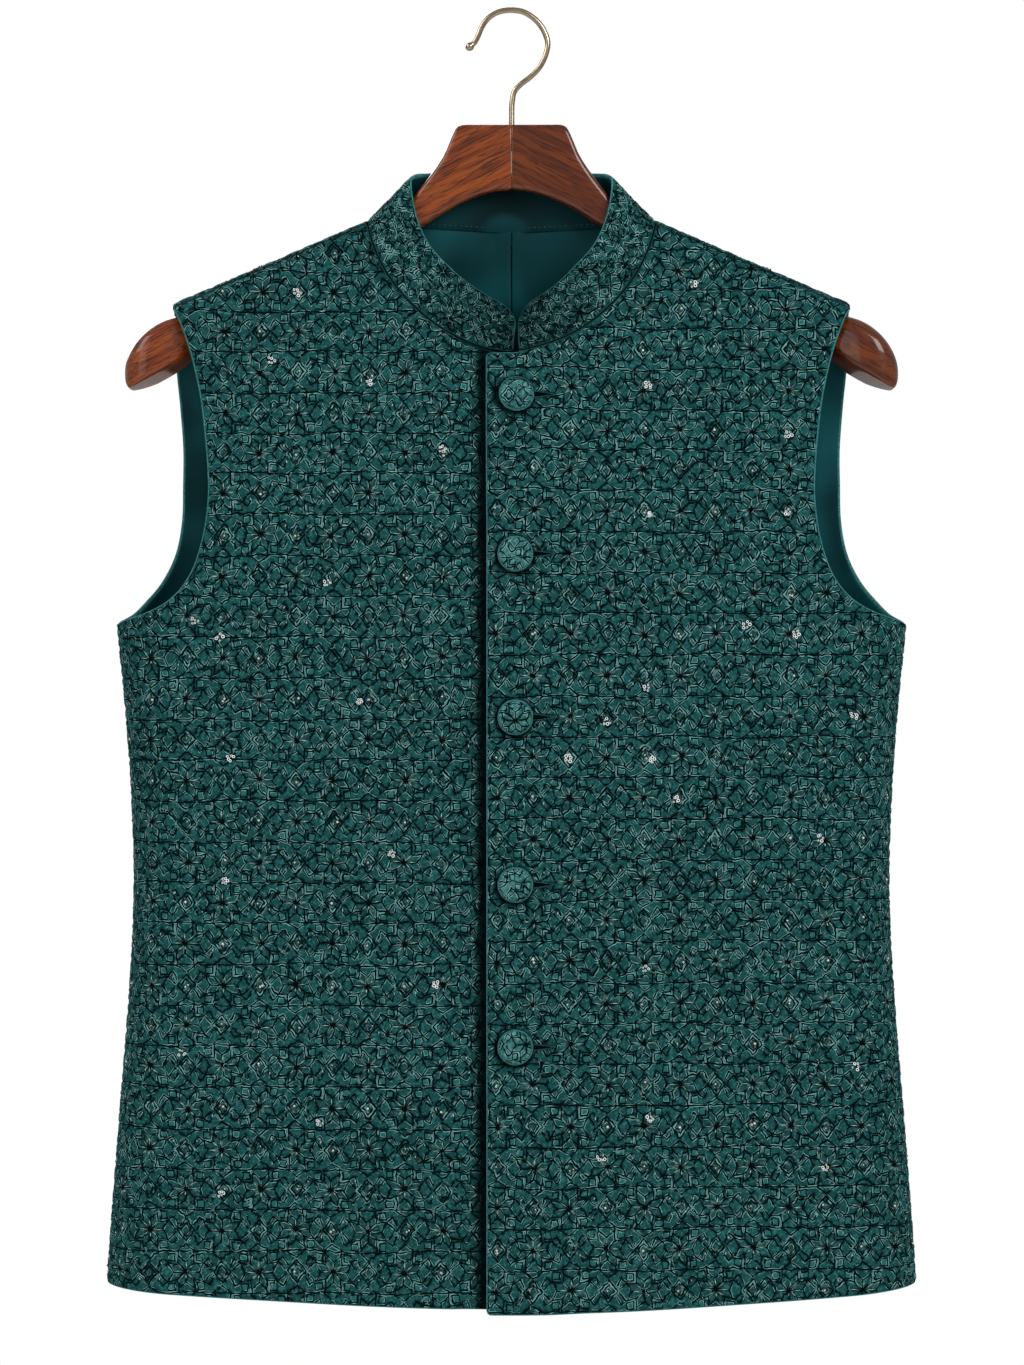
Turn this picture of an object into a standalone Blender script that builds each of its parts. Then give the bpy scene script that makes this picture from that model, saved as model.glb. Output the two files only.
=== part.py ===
"""A sleeveless band-collar jacket, buttoned, hanging on a contoured wooden hanger.

The jacket is cut flat and then wrapped.  Each panel is a flat pattern in (across, up), in
millimetres of cloth, with its wall and its quilting.  One form then carries every point of
it to its place on the hanger, so that neighbours meet along their seams.

Axes: +X to the wearer's left, -Y to the front, +Z up.  The origin is the inside top of the
hook, where a rail holds it.  All sizes below are in millimetres; meshes are made in metres.
"""

import math
from collections import namedtuple

import bmesh
import bpy
from mathutils import Vector
from mathutils.geometry import delaunay_2d_cdt

MM = 0.001

# --- Cloth -------------------------------------------------------------------------------
WALL = 2.4                 # quilted outer cloth, unraised
SATIN = 1.0                # lining
GAP = 0.3                  # between neighbouring pieces
LINING_GAP = 2.4           # the back's lining hangs this far inside the outer cloth
COLLAR_LINING_GAP = 0.8
BLOCK_WIDE = 23.4          # one quilted block, star or diamond
BLOCK_TALL = 26.2
LEFT_BLOCK = (14.1, 15.0)  # a block's middle on the left front; elsewhere one lies on (0, 0)
QUILT_RISE = 1.0           # how far a block's middle stands above its stitched edges
POINT_MARGIN = 6.0         # a block's point is left out nearer than this to another point
LONGEST_EDGE = 27.0        # a longer edge of an outline gets more points
FLAT_ZONE = 135.0          # nearer the centre than this, a plain sheet needs few points
ROUND_CUT = 0.3            # a small round corner's middle lies this share of its radius in
SMOOTH_ANGLE = 40.0        # plain pieces are shaded smooth across edges flatter than this

FRONT = -1
BACK = 1

# --- The form of the body, outer face: one row for each height ----------------------------
Section = namedtuple("Section", "height half_width side_radius crown")
SECTIONS = [
    Section(-100.0, 256.0, 40.0, 6.0),
    Section(-330.0, 256.0, 40.0, 7.0),
    Section(-396.0, 255.6, 40.0, 8.0),
    Section(-446.0, 251.1, 39.0, 8.0),
    Section(-498.0, 247.2, 38.0, 8.0),
    Section(-563.0, 245.0, 38.0, 8.0),
    Section(-628.0, 247.6, 39.0, 8.0),
    Section(-732.0, 255.7, 41.0, 8.0),
    Section(-817.0, 262.0, 42.0, 7.0),
    Section(-860.0, 264.0, 42.0, 7.0),
]

# --- Shoulders ---------------------------------------------------------------------------
NECK_POINT_X = 93.0        # where the shoulder ridge meets the collar
NECK_POINT_Z = -135.3
SHOULDER_TIP_X = 218.0
SHOULDER_SLOPE = 0.437     # drop for each unit outwards
RIDGE_RADIUS_IN = 12.0     # the ridge lies round the hanger: its radius at the centre
RIDGE_RADIUS_OUT = 22.0    # and at the shoulder tip
RIDGE_FLARE = 1.5
OPENING_DROP = 220.0       # below the ridge, the front and back reach their full depth here
SWEEP = 12.0               # the shoulder tips come forward by this much
SHOULDER_TURNS = (10.0, 38.0, 64.0, 90.0, 107.0)   # rows of points round the ridge, in degrees
SHOULDER_POINTS = 6        # points in each such row
TURN_MARGIN = 8.0          # no row lies nearer than this to a seam, in degrees
NECK_COLUMN_X = 87.0       # and one more here, beside the neck
ROW_MARGIN = 4.0           # but none nearer than this to a cut edge
FRONT_TURN = 60.0          # the front ends here, at the shoulder seam, forward of the ridge
LINING_TURN = 80.0         # the back's lining ends here
BACK_TURN = 120.0          # the back ends here, over the ridge

# --- Armholes, from underarm to shoulder tip, as seen from the front ------------------------
UNDERARM_Z = -396.4
INSET_DROP = 0.5           # an armhole set inwards comes down by this share as well
Edge = namedtuple("Edge", "x z")
FRONT_ARMHOLE = [
    Edge(250.0, -395.3), Edge(233.3, -389.7), Edge(217.5, -380.1), Edge(205.3, -363.5),
    Edge(198.0, -339.7), Edge(195.2, -316.5), Edge(195.5, -297.7), Edge(197.7, -272.4),
    Edge(200.5, -250.3), Edge(205.6, -226.9), Edge(211.5, -208.5),
]
BACK_ARMHOLE = [
    Edge(247.0, -391.0), Edge(237.5, -380.5), Edge(228.0, -367.7), Edge(220.0, -350.4),
    Edge(215.9, -329.3), Edge(214.9, -305.6), Edge(214.5, -282.0), Edge(216.3, -253.6),
    Edge(218.3, -231.9), Edge(219.0, -210.0),
]

# --- Neck, collar and fastening --------------------------------------------------------------
NECK_DROP = 87.7           # from the neck point down to the centre front
NECK_ROUNDNESS = 1.7       # exponent of the front neck's curve
BACK_NECK_DIP = 5.0
CENTRE_X = 2.4             # the line of buttons
COLLAR_END_GAP = 3.8       # between the collar's two ends
COLLAR_WALL = 2.6
COLLAR_CORNER = 12.0       # radius of the collar's front corners
COLLAR_ROWS = 4
COLLAR_END_STEPS = (0.12, 0.34, 0.64)   # more stations round the corner, in its first span
COLLAR_FOOT = 0.25         # the lowest share of the collar's height turns up from the cloth
COLLAR_ENDS = 0.3          # over this share of half its length, the top is moved to part the ends
COLLAR_LOOK = 0.02         # how far along the top edge is looked at to find its direction
COLLAR_MIDDLE = 0.6        # its length is measured at this share of its height
COLLAR_LINING_SHARE = 0.94 # the lining is this much lower than the collar
NECK_STEPS = 11            # points along half of the front neck
BACK_NECK_STEPS = 5
CollarTop = namedtuple("CollarTop", "along x y z")   # along: 0 at centre front, 1 at centre back
COLLAR_TOP = [
    CollarTop(0.00, 0.0, -15.0, -194.0),
    CollarTop(0.10, 14.5, -15.0, -186.0),
    CollarTop(0.20, 28.5, -15.0, -176.5),
    CollarTop(0.30, 41.0, -15.0, -165.5),
    CollarTop(0.40, 52.3, -15.0, -153.0),
    CollarTop(0.45, 58.0, -15.0, -142.5),
    CollarTop(0.50, 62.0, -14.5, -130.5),
    CollarTop(0.55, 64.0, -10.5, -117.0),
    CollarTop(0.60, 63.5, -2.0, -107.5),
    CollarTop(0.70, 53.0, 8.5, -103.5),
    CollarTop(0.85, 28.0, 13.5, -102.5),
    CollarTop(1.00, 0.0, 15.0, -102.5),
]
LAP = 16.0                 # the left front runs this far past the middle, over the right
LAP_LIFT = 4.0             # and stands this far out there
LAP_LIFT_FROM = 48.0       # the lift starts here
LAP_LIFT_FULL = 20.0       # and is whole from here on
UNDER_LAP = 15.0           # the right front runs this far past the middle, below
LAP_CORNER = 3.2
LAP_TOP_DROP = 1.5         # its top lies this far below the neck seam
BUTTON_HEIGHTS = (-251.9, -353.0, -457.0, -564.2, -667.9)
BUTTON_RADIUS = 11.4
BUTTON_RISE = 5.6
BUTTON_BACK = 1.2          # the button's back is rounded by this much

# --- Hem -----------------------------------------------------------------------------------
LEFT_HEM_Z = -839.0        # at the centre
RIGHT_HEM_Z = -836.0
BACK_HEM_Z = -834.0
SIDE_HEM_Z = -824.0
HEM_BEND = 1.8
HEM_CORNER = 5.0
HEM_STEPS = 12
SIDE_STEPS = 16
SHOULDER_STEPS = 6
LINING_SEAM = 0.5          # from the centre line to each half of the lining
LINING_INSET = 3.0         # the lining's edges lie this far inside the back's own
LINING_HEM_RISE = 12.0     # and its hem this far above
LINING_HEM_STEPS = 6
LINING_SIDE_STEPS = 10

# --- Soft folds: long shallow troughs, one row each --------------------------------------------
Fold = namedtuple("Fold", "side across top bottom lean half_width depth")
FOLDS = [
    Fold(FRONT, 118.0, -420.0, -880.0, 0.05, 34.0, 2.4),
    Fold(FRONT, 206.0, -400.0, -640.0, -0.16, 22.0, 2.2),
    Fold(FRONT, -132.0, -470.0, -880.0, -0.04, 38.0, 2.2),
    Fold(FRONT, -204.0, -410.0, -660.0, 0.17, 24.0, 2.4),
    Fold(FRONT, 168.0, -200.0, -380.0, 0.20, 22.0, 1.8),
    Fold(FRONT, -166.0, -205.0, -370.0, -0.22, 22.0, 1.6),
    Fold(BACK, 92.0, -330.0, -880.0, 0.06, 40.0, 4.5),
    Fold(BACK, -84.0, -350.0, -880.0, -0.05, 42.0, 4.0),
    Fold(BACK, 8.0, -480.0, -880.0, 0.02, 36.0, 3.0),
    Fold(BACK, 190.0, -390.0, -700.0, -0.14, 26.0, 3.0),
    Fold(BACK, -192.0, -380.0, -690.0, 0.13, 26.0, 3.0),
]
FOLD_NARROW = 0.6          # a fold's width at its top, as a share of half_width
FOLD_WIDENS = 0.7          # and how much wider it is at its bottom
FOLD_FADE = 1.0 / 3.0      # it deepens over this share of its length, and dies out so too
FOLD_RUNS_OUT = -800.0     # but one that ends below this runs out through the hem
FOLD_CLEAR = 60.0          # folds start this far below the turn of the shoulder

# --- Hanger --------------------------------------------------------------------------------
HANGER_CLEARANCE = 6.3     # between the inside of the outer cloth and the wood, lining between
HangerStation = namedtuple("HangerStation", "x top bottom half_thick squareness")
HANGER_HEAD = [
    HangerStation(0.15, -72.8, -115.0, 7.2, 5.0),
    HangerStation(12.0, -72.8, -116.4, 7.2, 5.0),
    HangerStation(24.0, -72.8, -120.0, 7.2, 5.0),
    HangerStation(32.0, -73.0, -123.4, 7.2, 5.0),
    HangerStation(36.0, -75.0, -125.4, 7.2, 5.0),
    HangerStation(39.5, -82.0, -127.4, 7.3, 4.8),
    HangerStation(43.5, -91.5, -129.8, 7.4, 4.6),
    HangerStation(48.5, -99.8, -133.0, 7.6, 4.2),
    HangerStation(54.5, -108.0, -137.0, 7.8, 3.8),
    HangerStation(63.5, -119.5, -142.0, 7.9, 3.2),
    HangerStation(70.0, -130.5, -145.6, 8.0, 2.8),
    HangerStation(78.0, -138.7, -150.0, 8.0, 2.5),
    HangerStation(87.0, -142.3, -155.0, 8.3, 2.4),
]
HANGER_ARM_X = (98.0, 120.0, 145.0, 170.0, 195.0, 216.0)
HANGER_BOTTOM_X = 57.0     # the underside is straight from here to the end
HANGER_BOTTOM_Z = -138.4
HANGER_BOTTOM_SLOPE = 0.552
HANGER_TIP = [
    HangerStation(226.0, -201.5, -241.0, 17.0, 2.5),
    HangerStation(234.5, -205.8, -245.0, 17.0, 2.5),
    HangerStation(241.5, -212.5, -247.4, 16.0, 2.4),
    HangerStation(246.0, -221.5, -247.6, 13.2, 2.3),
    HangerStation(248.8, -231.0, -244.0, 7.0, 2.2),
]
HANGER_FLARE_X = 130.0     # from here out the underside drops away and twists
HANGER_FLARE_DROP = 9.0
HANGER_TWIST = 4.0         # the back edge of the underside is this much lower, the front higher
HANGER_ARM_SQUARENESS = 2.3
HANGER_SIDES = 18
WIRE_RADIUS = 1.9
HOOK_HOLE_DEPTH = 18.0
HOOK_HOLE_CLEARANCE = 0.3
Route = namedtuple("Route", "x z")
HOOK_BALL_RADII = (0.55, 1.25, 1.55, 1.35)   # the ball at its end, in wire radii
HOOK_ROUTE = [
    Route(-27.0, -21.6), Route(-23.4, -15.6), Route(-18.5, -9.1), Route(-9.8, -1.0),
    Route(0.0, 1.9), Route(11.5, -0.8), Route(20.3, -9.1), Route(23.6, -19.5), Route(21.8, -29.0),
    Route(16.6, -37.0), Route(8.8, -44.0), Route(2.8, -50.5), Route(0.3, -58.0),
    Route(0.0, -66.0), Route(0.0, -72.8 - HOOK_HOLE_DEPTH + 1.0),
]


# --- Small tools ---------------------------------------------------------------------------
def ease(part):
    """Go smoothly from 0 to 1 as part does."""
    part = min(max(part, 0.0), 1.0)
    return part * part * (3.0 - 2.0 * part)


def read_table(rows, key, wanted, column):
    """Read one column of a table between its rows, with no corner at a row."""
    keys = [getattr(row, key) for row in rows]
    values = [getattr(row, column) for row in rows]
    if keys[0] > keys[-1]:
        keys.reverse()
        values.reverse()
    wanted = min(max(wanted, keys[0]), keys[-1])
    i = max(k for k in range(len(keys) - 1) if keys[k] <= wanted)
    slopes = []
    for k in (i, i + 1):
        low = max(k - 1, 0)
        high = min(k + 1, len(keys) - 1)
        slopes.append((values[high] - values[low]) / (keys[high] - keys[low]))
    span = keys[i + 1] - keys[i]
    t = (wanted - keys[i]) / span
    start = values[i] * (1 + 2 * t) * (1 - t) ** 2 + slopes[0] * span * t * (1 - t) ** 2
    end = values[i + 1] * t * t * (3 - 2 * t) - slopes[1] * span * t * t * (1 - t)
    return start + end


def curve_through(points, steps):
    """Return points on a smooth curve through the given ones, with steps to each span."""
    path = []
    for i in range(len(points) - 1):
        before = points[max(i - 1, 0)]
        start, end = points[i], points[i + 1]
        after = points[min(i + 2, len(points) - 1)]
        for k in range(steps):
            t = k / steps
            path.append(tuple(
                0.5 * (2 * b + (c - a) * t + (2 * a - 5 * b + 4 * c - d) * t * t
                       + (3 * b - a - 3 * c + d) * t ** 3)
                for a, b, c, d in zip(before, start, end, after)))
    path.append(tuple(points[-1]))
    return path


def make_material(name, color, roughness, metallic=0.0, sheen=0.0):
    """Make a plain Principled material."""
    material = bpy.data.materials.new(name)
    material.use_nodes = True
    shader = material.node_tree.nodes["Principled BSDF"]
    shader.inputs["Base Color"].default_value = (*color, 1.0)
    shader.inputs["Roughness"].default_value = roughness
    shader.inputs["Metallic"].default_value = metallic
    shader.inputs["Sheen Weight"].default_value = sheen
    return material


def add_object(name, bm, material, collection, smooth_angle=None):
    """Turn a bmesh, in millimetres, into a named object in metres."""
    bmesh.ops.scale(bm, vec=(MM, MM, MM), verts=bm.verts)
    mesh = bpy.data.meshes.new(name)
    bm.to_mesh(mesh)
    bm.free()
    mesh.materials.append(material)
    if smooth_angle is not None:
        mesh.shade_smooth()
        mesh.set_sharp_from_angle(angle=math.radians(smooth_angle))
    thing = bpy.data.objects.new(name, mesh)
    collection.objects.link(thing)
    return thing


# --- The form that carries the cloth ---------------------------------------------------------
def section_at(height):
    """Half width, side radius and crown of the outer cloth's inner face at a height."""
    half_width = read_table(SECTIONS, "height", height, "half_width") - WALL
    side_radius = read_table(SECTIONS, "height", height, "side_radius")
    crown = read_table(SECTIONS, "height", height, "crown")
    return half_width, side_radius, crown


def ridge_at(x):
    """Height of the shoulder ridge's inner face, and its radius round the hanger."""
    lean = math.sqrt(1.0 + SHOULDER_SLOPE ** 2)
    height = NECK_POINT_Z - SHOULDER_SLOPE * (abs(x) - NECK_POINT_X) - WALL * lean
    flare = (abs(x) / SHOULDER_TIP_X) ** RIDGE_FLARE
    return height, RIDGE_RADIUS_IN + (RIDGE_RADIUS_OUT - RIDGE_RADIUS_IN) * flare


def side_seam(height):
    """How much cloth lies between the centre and the side seam."""
    half_width, side_radius, _ = section_at(height)
    return half_width - side_radius + side_radius * math.pi / 2


def fold_depth(side, across, height):
    """How far the folds draw the cloth in at a place."""
    total = 0.0
    for fold in FOLDS:
        if fold.side != side or not fold.bottom < height < fold.top:
            continue
        along = (fold.top - height) / (fold.top - fold.bottom)
        middle = fold.across + fold.lean * (fold.top - height)
        off = (across - middle) / (fold.half_width * (FOLD_NARROW + FOLD_WIDENS * along))
        fade = ease(along / FOLD_FADE)
        if fold.bottom > FOLD_RUNS_OUT:
            fade *= ease((1.0 - along) / FOLD_FADE)
        total += fold.depth * fade * math.exp(-off * off)
    return total


def form_inner(side, across, up):
    """A point of the outer cloth's inner face: across and up are measured along the cloth."""
    half_width, side_radius, crown = section_at(up)
    flat_half = half_width - side_radius
    turn = max(abs(across) - flat_half, 0.0) / side_radius
    x = min(abs(across), flat_half) + side_radius * math.sin(turn)
    inward = math.cos(math.pi / 2 * min(abs(across) / flat_half, 1.0))
    depth = side_radius + crown * inward ** 2
    ridge, radius = ridge_at(x)
    below = ridge - radius - up
    if below >= 0.0:
        reach = radius + (depth - radius) * ease(below / OPENING_DROP)
        reach -= fold_depth(side, across, up) * ease(below / FOLD_CLEAR)
        z = up
    else:
        over = -below / radius
        reach = radius * math.cos(over)
        z = ridge - radius + radius * math.sin(over)
    forward = SWEEP * (x / SHOULDER_TIP_X) ** 2 * (1.0 - ease(below / OPENING_DROP))
    y = side * reach * math.cos(turn) - forward
    return Vector((math.copysign(x, across), y, z))


def form_normal(side, across, up):
    """Outward direction of the form at a place on the cloth."""
    step = 0.4
    along = form_inner(side, across + step, up) - form_inner(side, across - step, up)
    rise = form_inner(side, across, up + step) - form_inner(side, across, up - step)
    return (along.cross(rise) * -side).normalized()


def form_point(side, across, up, out):
    """A point at the given distance outside the outer cloth's inner face."""
    return form_inner(side, across, up) + form_normal(side, across, up) * out


def flat_place(side, x, z):
    """Where a point seen from the front or back lies on the flat cloth."""
    half_width, side_radius, _ = section_at(z)
    flat_half = half_width - side_radius
    across = abs(x)
    if across > flat_half:
        turn = math.asin(min((across - flat_half) / side_radius, 1.0))
        across = flat_half + side_radius * turn
    ridge, radius = ridge_at(x)
    above = z - (ridge - radius)
    up = z if above <= 0 else z - above + radius * math.asin(min(above / radius, 1.0))
    return math.copysign(across, x), up


def shoulder_seam(side, x):
    """The shoulder seam's place on the flat cloth of the front or the back."""
    ridge, radius = ridge_at(x)
    turn = math.radians(FRONT_TURN if side == FRONT else BACK_TURN)
    return ridge - radius + radius * turn


# --- Flat patterns: outlines of the right-hand side of each, in (across, up) -------------------
def neck_curve(side, start_x, steps):
    """The neck seam from near the centre out to the shoulder seam."""
    points = []
    low = math.asin(min(max(start_x, 0.0) / NECK_POINT_X, 1.0) ** (NECK_ROUNDNESS / 2))
    for k in range(steps):
        turn = low + (math.pi / 2 - low) * k / steps
        x = NECK_POINT_X * math.sin(turn) ** (2 / NECK_ROUNDNESS)
        if side == FRONT:
            z = NECK_POINT_Z - NECK_DROP * math.cos(turn) ** (2 / NECK_ROUNDNESS)
        else:
            z = NECK_POINT_Z - BACK_NECK_DIP * (1.0 - x / NECK_POINT_X)
        points.append(flat_place(side, x, z))
    points.append((NECK_POINT_X, shoulder_seam(side, NECK_POINT_X) - GAP / 2))
    return points


def armhole_curve(side, inset=0.0):
    """The armhole from the side seam up to the shoulder tip."""
    edges = FRONT_ARMHOLE if side == FRONT else BACK_ARMHOLE
    points = [(side_seam(UNDERARM_Z) - GAP / 2, UNDERARM_Z - inset)]
    points += [flat_place(side, edge.x - inset, edge.z - inset * INSET_DROP) for edge in edges]
    points.append((SHOULDER_TIP_X - inset, shoulder_seam(side, SHOULDER_TIP_X) - GAP / 2))
    return curve_through(points, 2)


def shoulder_line(side):
    """The shoulder seam between the tip and the neck point, ends left out."""
    points = []
    for k in range(1, SHOULDER_STEPS):
        x = SHOULDER_TIP_X + (NECK_POINT_X - SHOULDER_TIP_X) * k / SHOULDER_STEPS
        points.append((x, shoulder_seam(side, x) - GAP / 2))
    return points


def hem_line(centre_z, start, steps):
    """The hem from start out to the side seam, with its corner rounded."""
    side = side_seam(SIDE_HEM_Z) - GAP / 2
    half_width = section_at(SIDE_HEM_Z)[0]
    points = []
    for k in range(steps + 1):
        across = start + (side - HEM_CORNER - start) * k / steps
        bend = abs(form_inner(FRONT, across, SIDE_HEM_Z).x / half_width) ** HEM_BEND
        points.append((across, centre_z + (SIDE_HEM_Z - centre_z) * bend))
    points.append((side - HEM_CORNER * ROUND_CUT, SIDE_HEM_Z + HEM_CORNER * ROUND_CUT))
    return points


def side_line(steps):
    """The side seam from just above the hem to just below the underarm."""
    points = []
    low = SIDE_HEM_Z + HEM_CORNER
    for k in range(steps):
        up = low + (UNDERARM_Z - low) * k / steps
        points.append((side_seam(up) - GAP / 2, up))
    return points


def front_outline(hem_z, lap, start_x):
    """A front, laid with its centre line on 0 and its side seam at the right."""
    neck = neck_curve(FRONT, start_x, NECK_STEPS)
    top = neck[0][1] - LAP_TOP_DROP
    cut = LAP_CORNER * ROUND_CUT
    outline = [(-lap, hem_z + LAP_CORNER), (-lap + cut, hem_z + cut)]
    outline += hem_line(hem_z, -lap + LAP_CORNER, HEM_STEPS)
    outline += side_line(SIDE_STEPS)
    outline += armhole_curve(FRONT)
    outline += shoulder_line(FRONT)
    outline += neck[::-1]
    outline += [(neck[0][0] - GAP, top), (-lap + LAP_CORNER, top),
                (-lap + cut, top - cut), (-lap, top - LAP_CORNER)]
    return divide_edges(outline)


def divide_edges(outline):
    """Add points to an outline's long edges, so that they can follow the form."""
    divided = []
    for start, end in zip(outline, outline[1:] + outline[:1]):
        parts = math.ceil(math.dist(start, end) / LONGEST_EDGE)
        for k in range(parts):
            divided.append(tuple(a + (b - a) * k / parts for a, b in zip(start, end)))
    return divided


def back_outline():
    """The whole back, both halves."""
    half = hem_line(BACK_HEM_Z, 0.0, HEM_STEPS)
    half += side_line(SIDE_STEPS)
    half += armhole_curve(BACK)
    half += shoulder_line(BACK)
    half += neck_curve(BACK, 0.0, BACK_NECK_STEPS)[::-1]
    return mirrored_outline(half)


def mirrored_outline(half):
    """Join half an outline, which starts and ends on the centre line, to its mirror image."""
    other = [(-across, up) for across, up in half[::-1]]
    return half + [point for point in other if abs(point[0]) > GAP]


def back_lining_outline():
    """Half of the back lining: its centre seam, and edges a little inside the back's own."""
    outline = [(across - LINING_INSET, up + LINING_HEM_RISE)
               for across, up in hem_line(BACK_HEM_Z, 0.0, LINING_HEM_STEPS)]
    outline[0] = (LINING_SEAM, BACK_HEM_Z + LINING_HEM_RISE)
    outline += [(across - LINING_INSET, up) for across, up in side_line(LINING_SIDE_STEPS)[1:]]
    outline += armhole_curve(BACK, LINING_INSET)[:-1:2]
    for x in [SHOULDER_TIP_X - LINING_INSET, *shoulder_columns()[::-1], NECK_POINT_X]:
        ridge, radius = ridge_at(x)
        outline.append((x, ridge - radius + radius * math.radians(LINING_TURN)))
    neck = neck_curve(BACK, 0.0, BACK_NECK_STEPS)[:-1]
    outline += [(max(across, LINING_SEAM), up - GAP) for across, up in neck[::-1]]
    return divide_edges(outline)


# --- Cutting and wrapping ---------------------------------------------------------------------
def shoulder_columns():
    """The places along the shoulder of its rows of points."""
    span = SHOULDER_TIP_X - NECK_POINT_X
    return [NECK_POINT_X + span * (k + 0.5) / SHOULDER_POINTS for k in range(SHOULDER_POINTS)]


def shoulder_points(last_turn):
    """Rows of points where the cloth turns over the shoulder, for the right-hand half."""
    points = []
    for turn in SHOULDER_TURNS:
        if turn > last_turn - TURN_MARGIN:
            continue
        for x in [NECK_COLUMN_X, *shoulder_columns()]:
            ridge, radius = ridge_at(x)
            points.append((x, ridge - radius + radius * math.radians(turn)))
    return points


def inside_by(outline, point, margin):
    """Whether a point lies inside an outline, at least margin from its edge."""
    within = False
    px, py = point
    for i, (x1, y1) in enumerate(outline):
        x0, y0 = outline[i - 1]
        if (y0 > py) != (y1 > py) and px < (x1 - x0) * (py - y0) / (y1 - y0) + x0:
            within = not within
        dx, dy = x1 - x0, y1 - y0
        t = min(max(((px - x0) * dx + (py - y0) * dy) / (dx * dx + dy * dy), 0.0), 1.0)
        if math.hypot(x0 + t * dx - px, y0 + t * dy - py) < margin:
            return False
    return within


def lattice_points(outline, shift, wanted, block):
    """Points of the grid of blocks inside the outline, moved by a share of a block.

    wanted(column, row, across) says which of them are used; block is one block's middle.
    """
    lefts = [across - block[0] for across, _ in outline]
    heights = [up - block[1] for _, up in outline]
    rows = range(math.floor(min(heights) / BLOCK_TALL), math.ceil(max(heights) / BLOCK_TALL) + 1)
    columns = range(math.floor(min(lefts) / BLOCK_WIDE), math.ceil(max(lefts) / BLOCK_WIDE) + 1)
    points = []
    for row in rows:
        for column in columns:
            point = (block[0] + (column + shift) * BLOCK_WIDE,
                     block[1] + (row + shift) * BLOCK_TALL)
            if not wanted(column, row, point[0]) or not below_shoulder(*point):
                continue
            if inside_by(outline, point, POINT_MARGIN):
                points.append(point)
    return points


def below_shoulder(across, up):
    """Whether the cloth hangs here, and isn't yet turning over the shoulder."""
    ridge, radius = ridge_at(across)
    return up < ridge - radius


def cut_flat(outline, guides, quilted, block=(0.0, 0.0)):
    """Cut a flat sheet to the outline, with a point at each block's corner and middle.

    The guides are more points, where the cloth turns over the shoulder, and block is one
    block's middle.  A plain sheet has no middles, and only every second corner where the form
    is flat.  Returns the sheet as a bmesh, its middles, and all the points that the quilting
    raises.
    """
    def corner_wanted(column, row, across):
        return quilted or abs(across) > FLAT_ZONE or (column % 2 == 0 and row % 2 == 0)

    guides = [point for point in guides if inside_by(outline, point, ROW_MARGIN)]
    corners = lattice_points(outline, 0.5, corner_wanted, block)
    middles = lattice_points(outline, 0.0, lambda *_: True, block) if quilted else []
    points = [Vector(point) for point in outline + guides + corners + middles]
    edge_count = len(outline)
    edges = [(i, (i + 1) % edge_count) for i in range(edge_count)]
    first_corner = edge_count + len(guides)
    index_of = {flat_key(*point): first_corner + i for i, point in enumerate(corners)}
    for across, up in corners:
        for other in ((across + BLOCK_WIDE, up), (across, up + BLOCK_TALL)):
            if flat_key(*other) in index_of:
                edges.append((index_of[flat_key(across, up)], index_of[flat_key(*other)]))
    first_middle = first_corner + len(corners)
    flat, _, faces, sources, *_ = delaunay_2d_cdt(points, edges, [], 1, 1e-5)
    bm = bmesh.new()
    verts = [bm.verts.new((point.x, point.y, 0.0)) for point in flat]
    for face in faces:
        bm.faces.new([verts[i] for i in face])
    bm.normal_update()
    if sum(face.normal.z for face in bm.faces) < 0:
        bmesh.ops.reverse_faces(bm, faces=bm.faces)
    middles, raised = set(), set()
    for i, source in enumerate(sources):
        if source and min(source) >= first_middle:
            middles.add(i)
        elif source and quilted and edge_count <= min(source) < first_corner and i % 2:
            raised.add(i)
    return bm, middles, raised | middles


def wrap_wall(bm, middles, raised, place, inner, outer):
    """Give a flat sheet its wall and carry it to its place.

    place(across, up, out) returns the point in space.  The points in raised stand QUILT_RISE
    further out on the outer face.  The inner face is plain, and does without the middles.
    """
    bm.verts.index_update()
    flat = [(vert.co.x, vert.co.y) for vert in bm.verts]
    inner_verts = list(bm.verts)
    inner_faces = list(bm.faces)
    bmesh.ops.extrude_face_region(bm, geom=inner_faces, use_keep_orig=True)
    bmesh.ops.reverse_faces(bm, faces=inner_faces)
    known = set(inner_verts)
    outer_verts = [vert for vert in bm.verts if vert not in known]
    index_of = {flat_key(*point): i for i, point in enumerate(flat)}
    for vert in outer_verts:
        i = index_of[flat_key(vert.co.x, vert.co.y)]
        rise = QUILT_RISE if i in raised else 0.0
        vert.co = place(*flat[i], outer + rise)
    for i, vert in enumerate(inner_verts):
        vert.co = place(*flat[i], inner)
    bmesh.ops.dissolve_verts(bm, verts=[inner_verts[i] for i in middles])
    bmesh.ops.triangulate(bm, faces=bm.faces)
    bmesh.ops.recalc_face_normals(bm, faces=bm.faces)


def flat_key(across, up):
    """A key that finds a point of the flat sheet again."""
    return round(across, 2), round(up, 2)


def mirror_points(points):
    """The points and their mirror images."""
    return points + [(-across, up) for across, up in points]


def mirror_x(bm):
    """Mirror a closed mesh left to right and keep it facing outwards."""
    bmesh.ops.scale(bm, vec=(-1, 1, 1), verts=bm.verts)
    bmesh.ops.reverse_faces(bm, faces=bm.faces)


# --- Jacket pieces ------------------------------------------------------------------------------
def lap_lift(across):
    """How far the left front stands out over the right one."""
    span = LAP_LIFT_FROM - LAP_LIFT_FULL
    return LAP_LIFT * ease((LAP_LIFT_FROM - across) / span)


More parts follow.
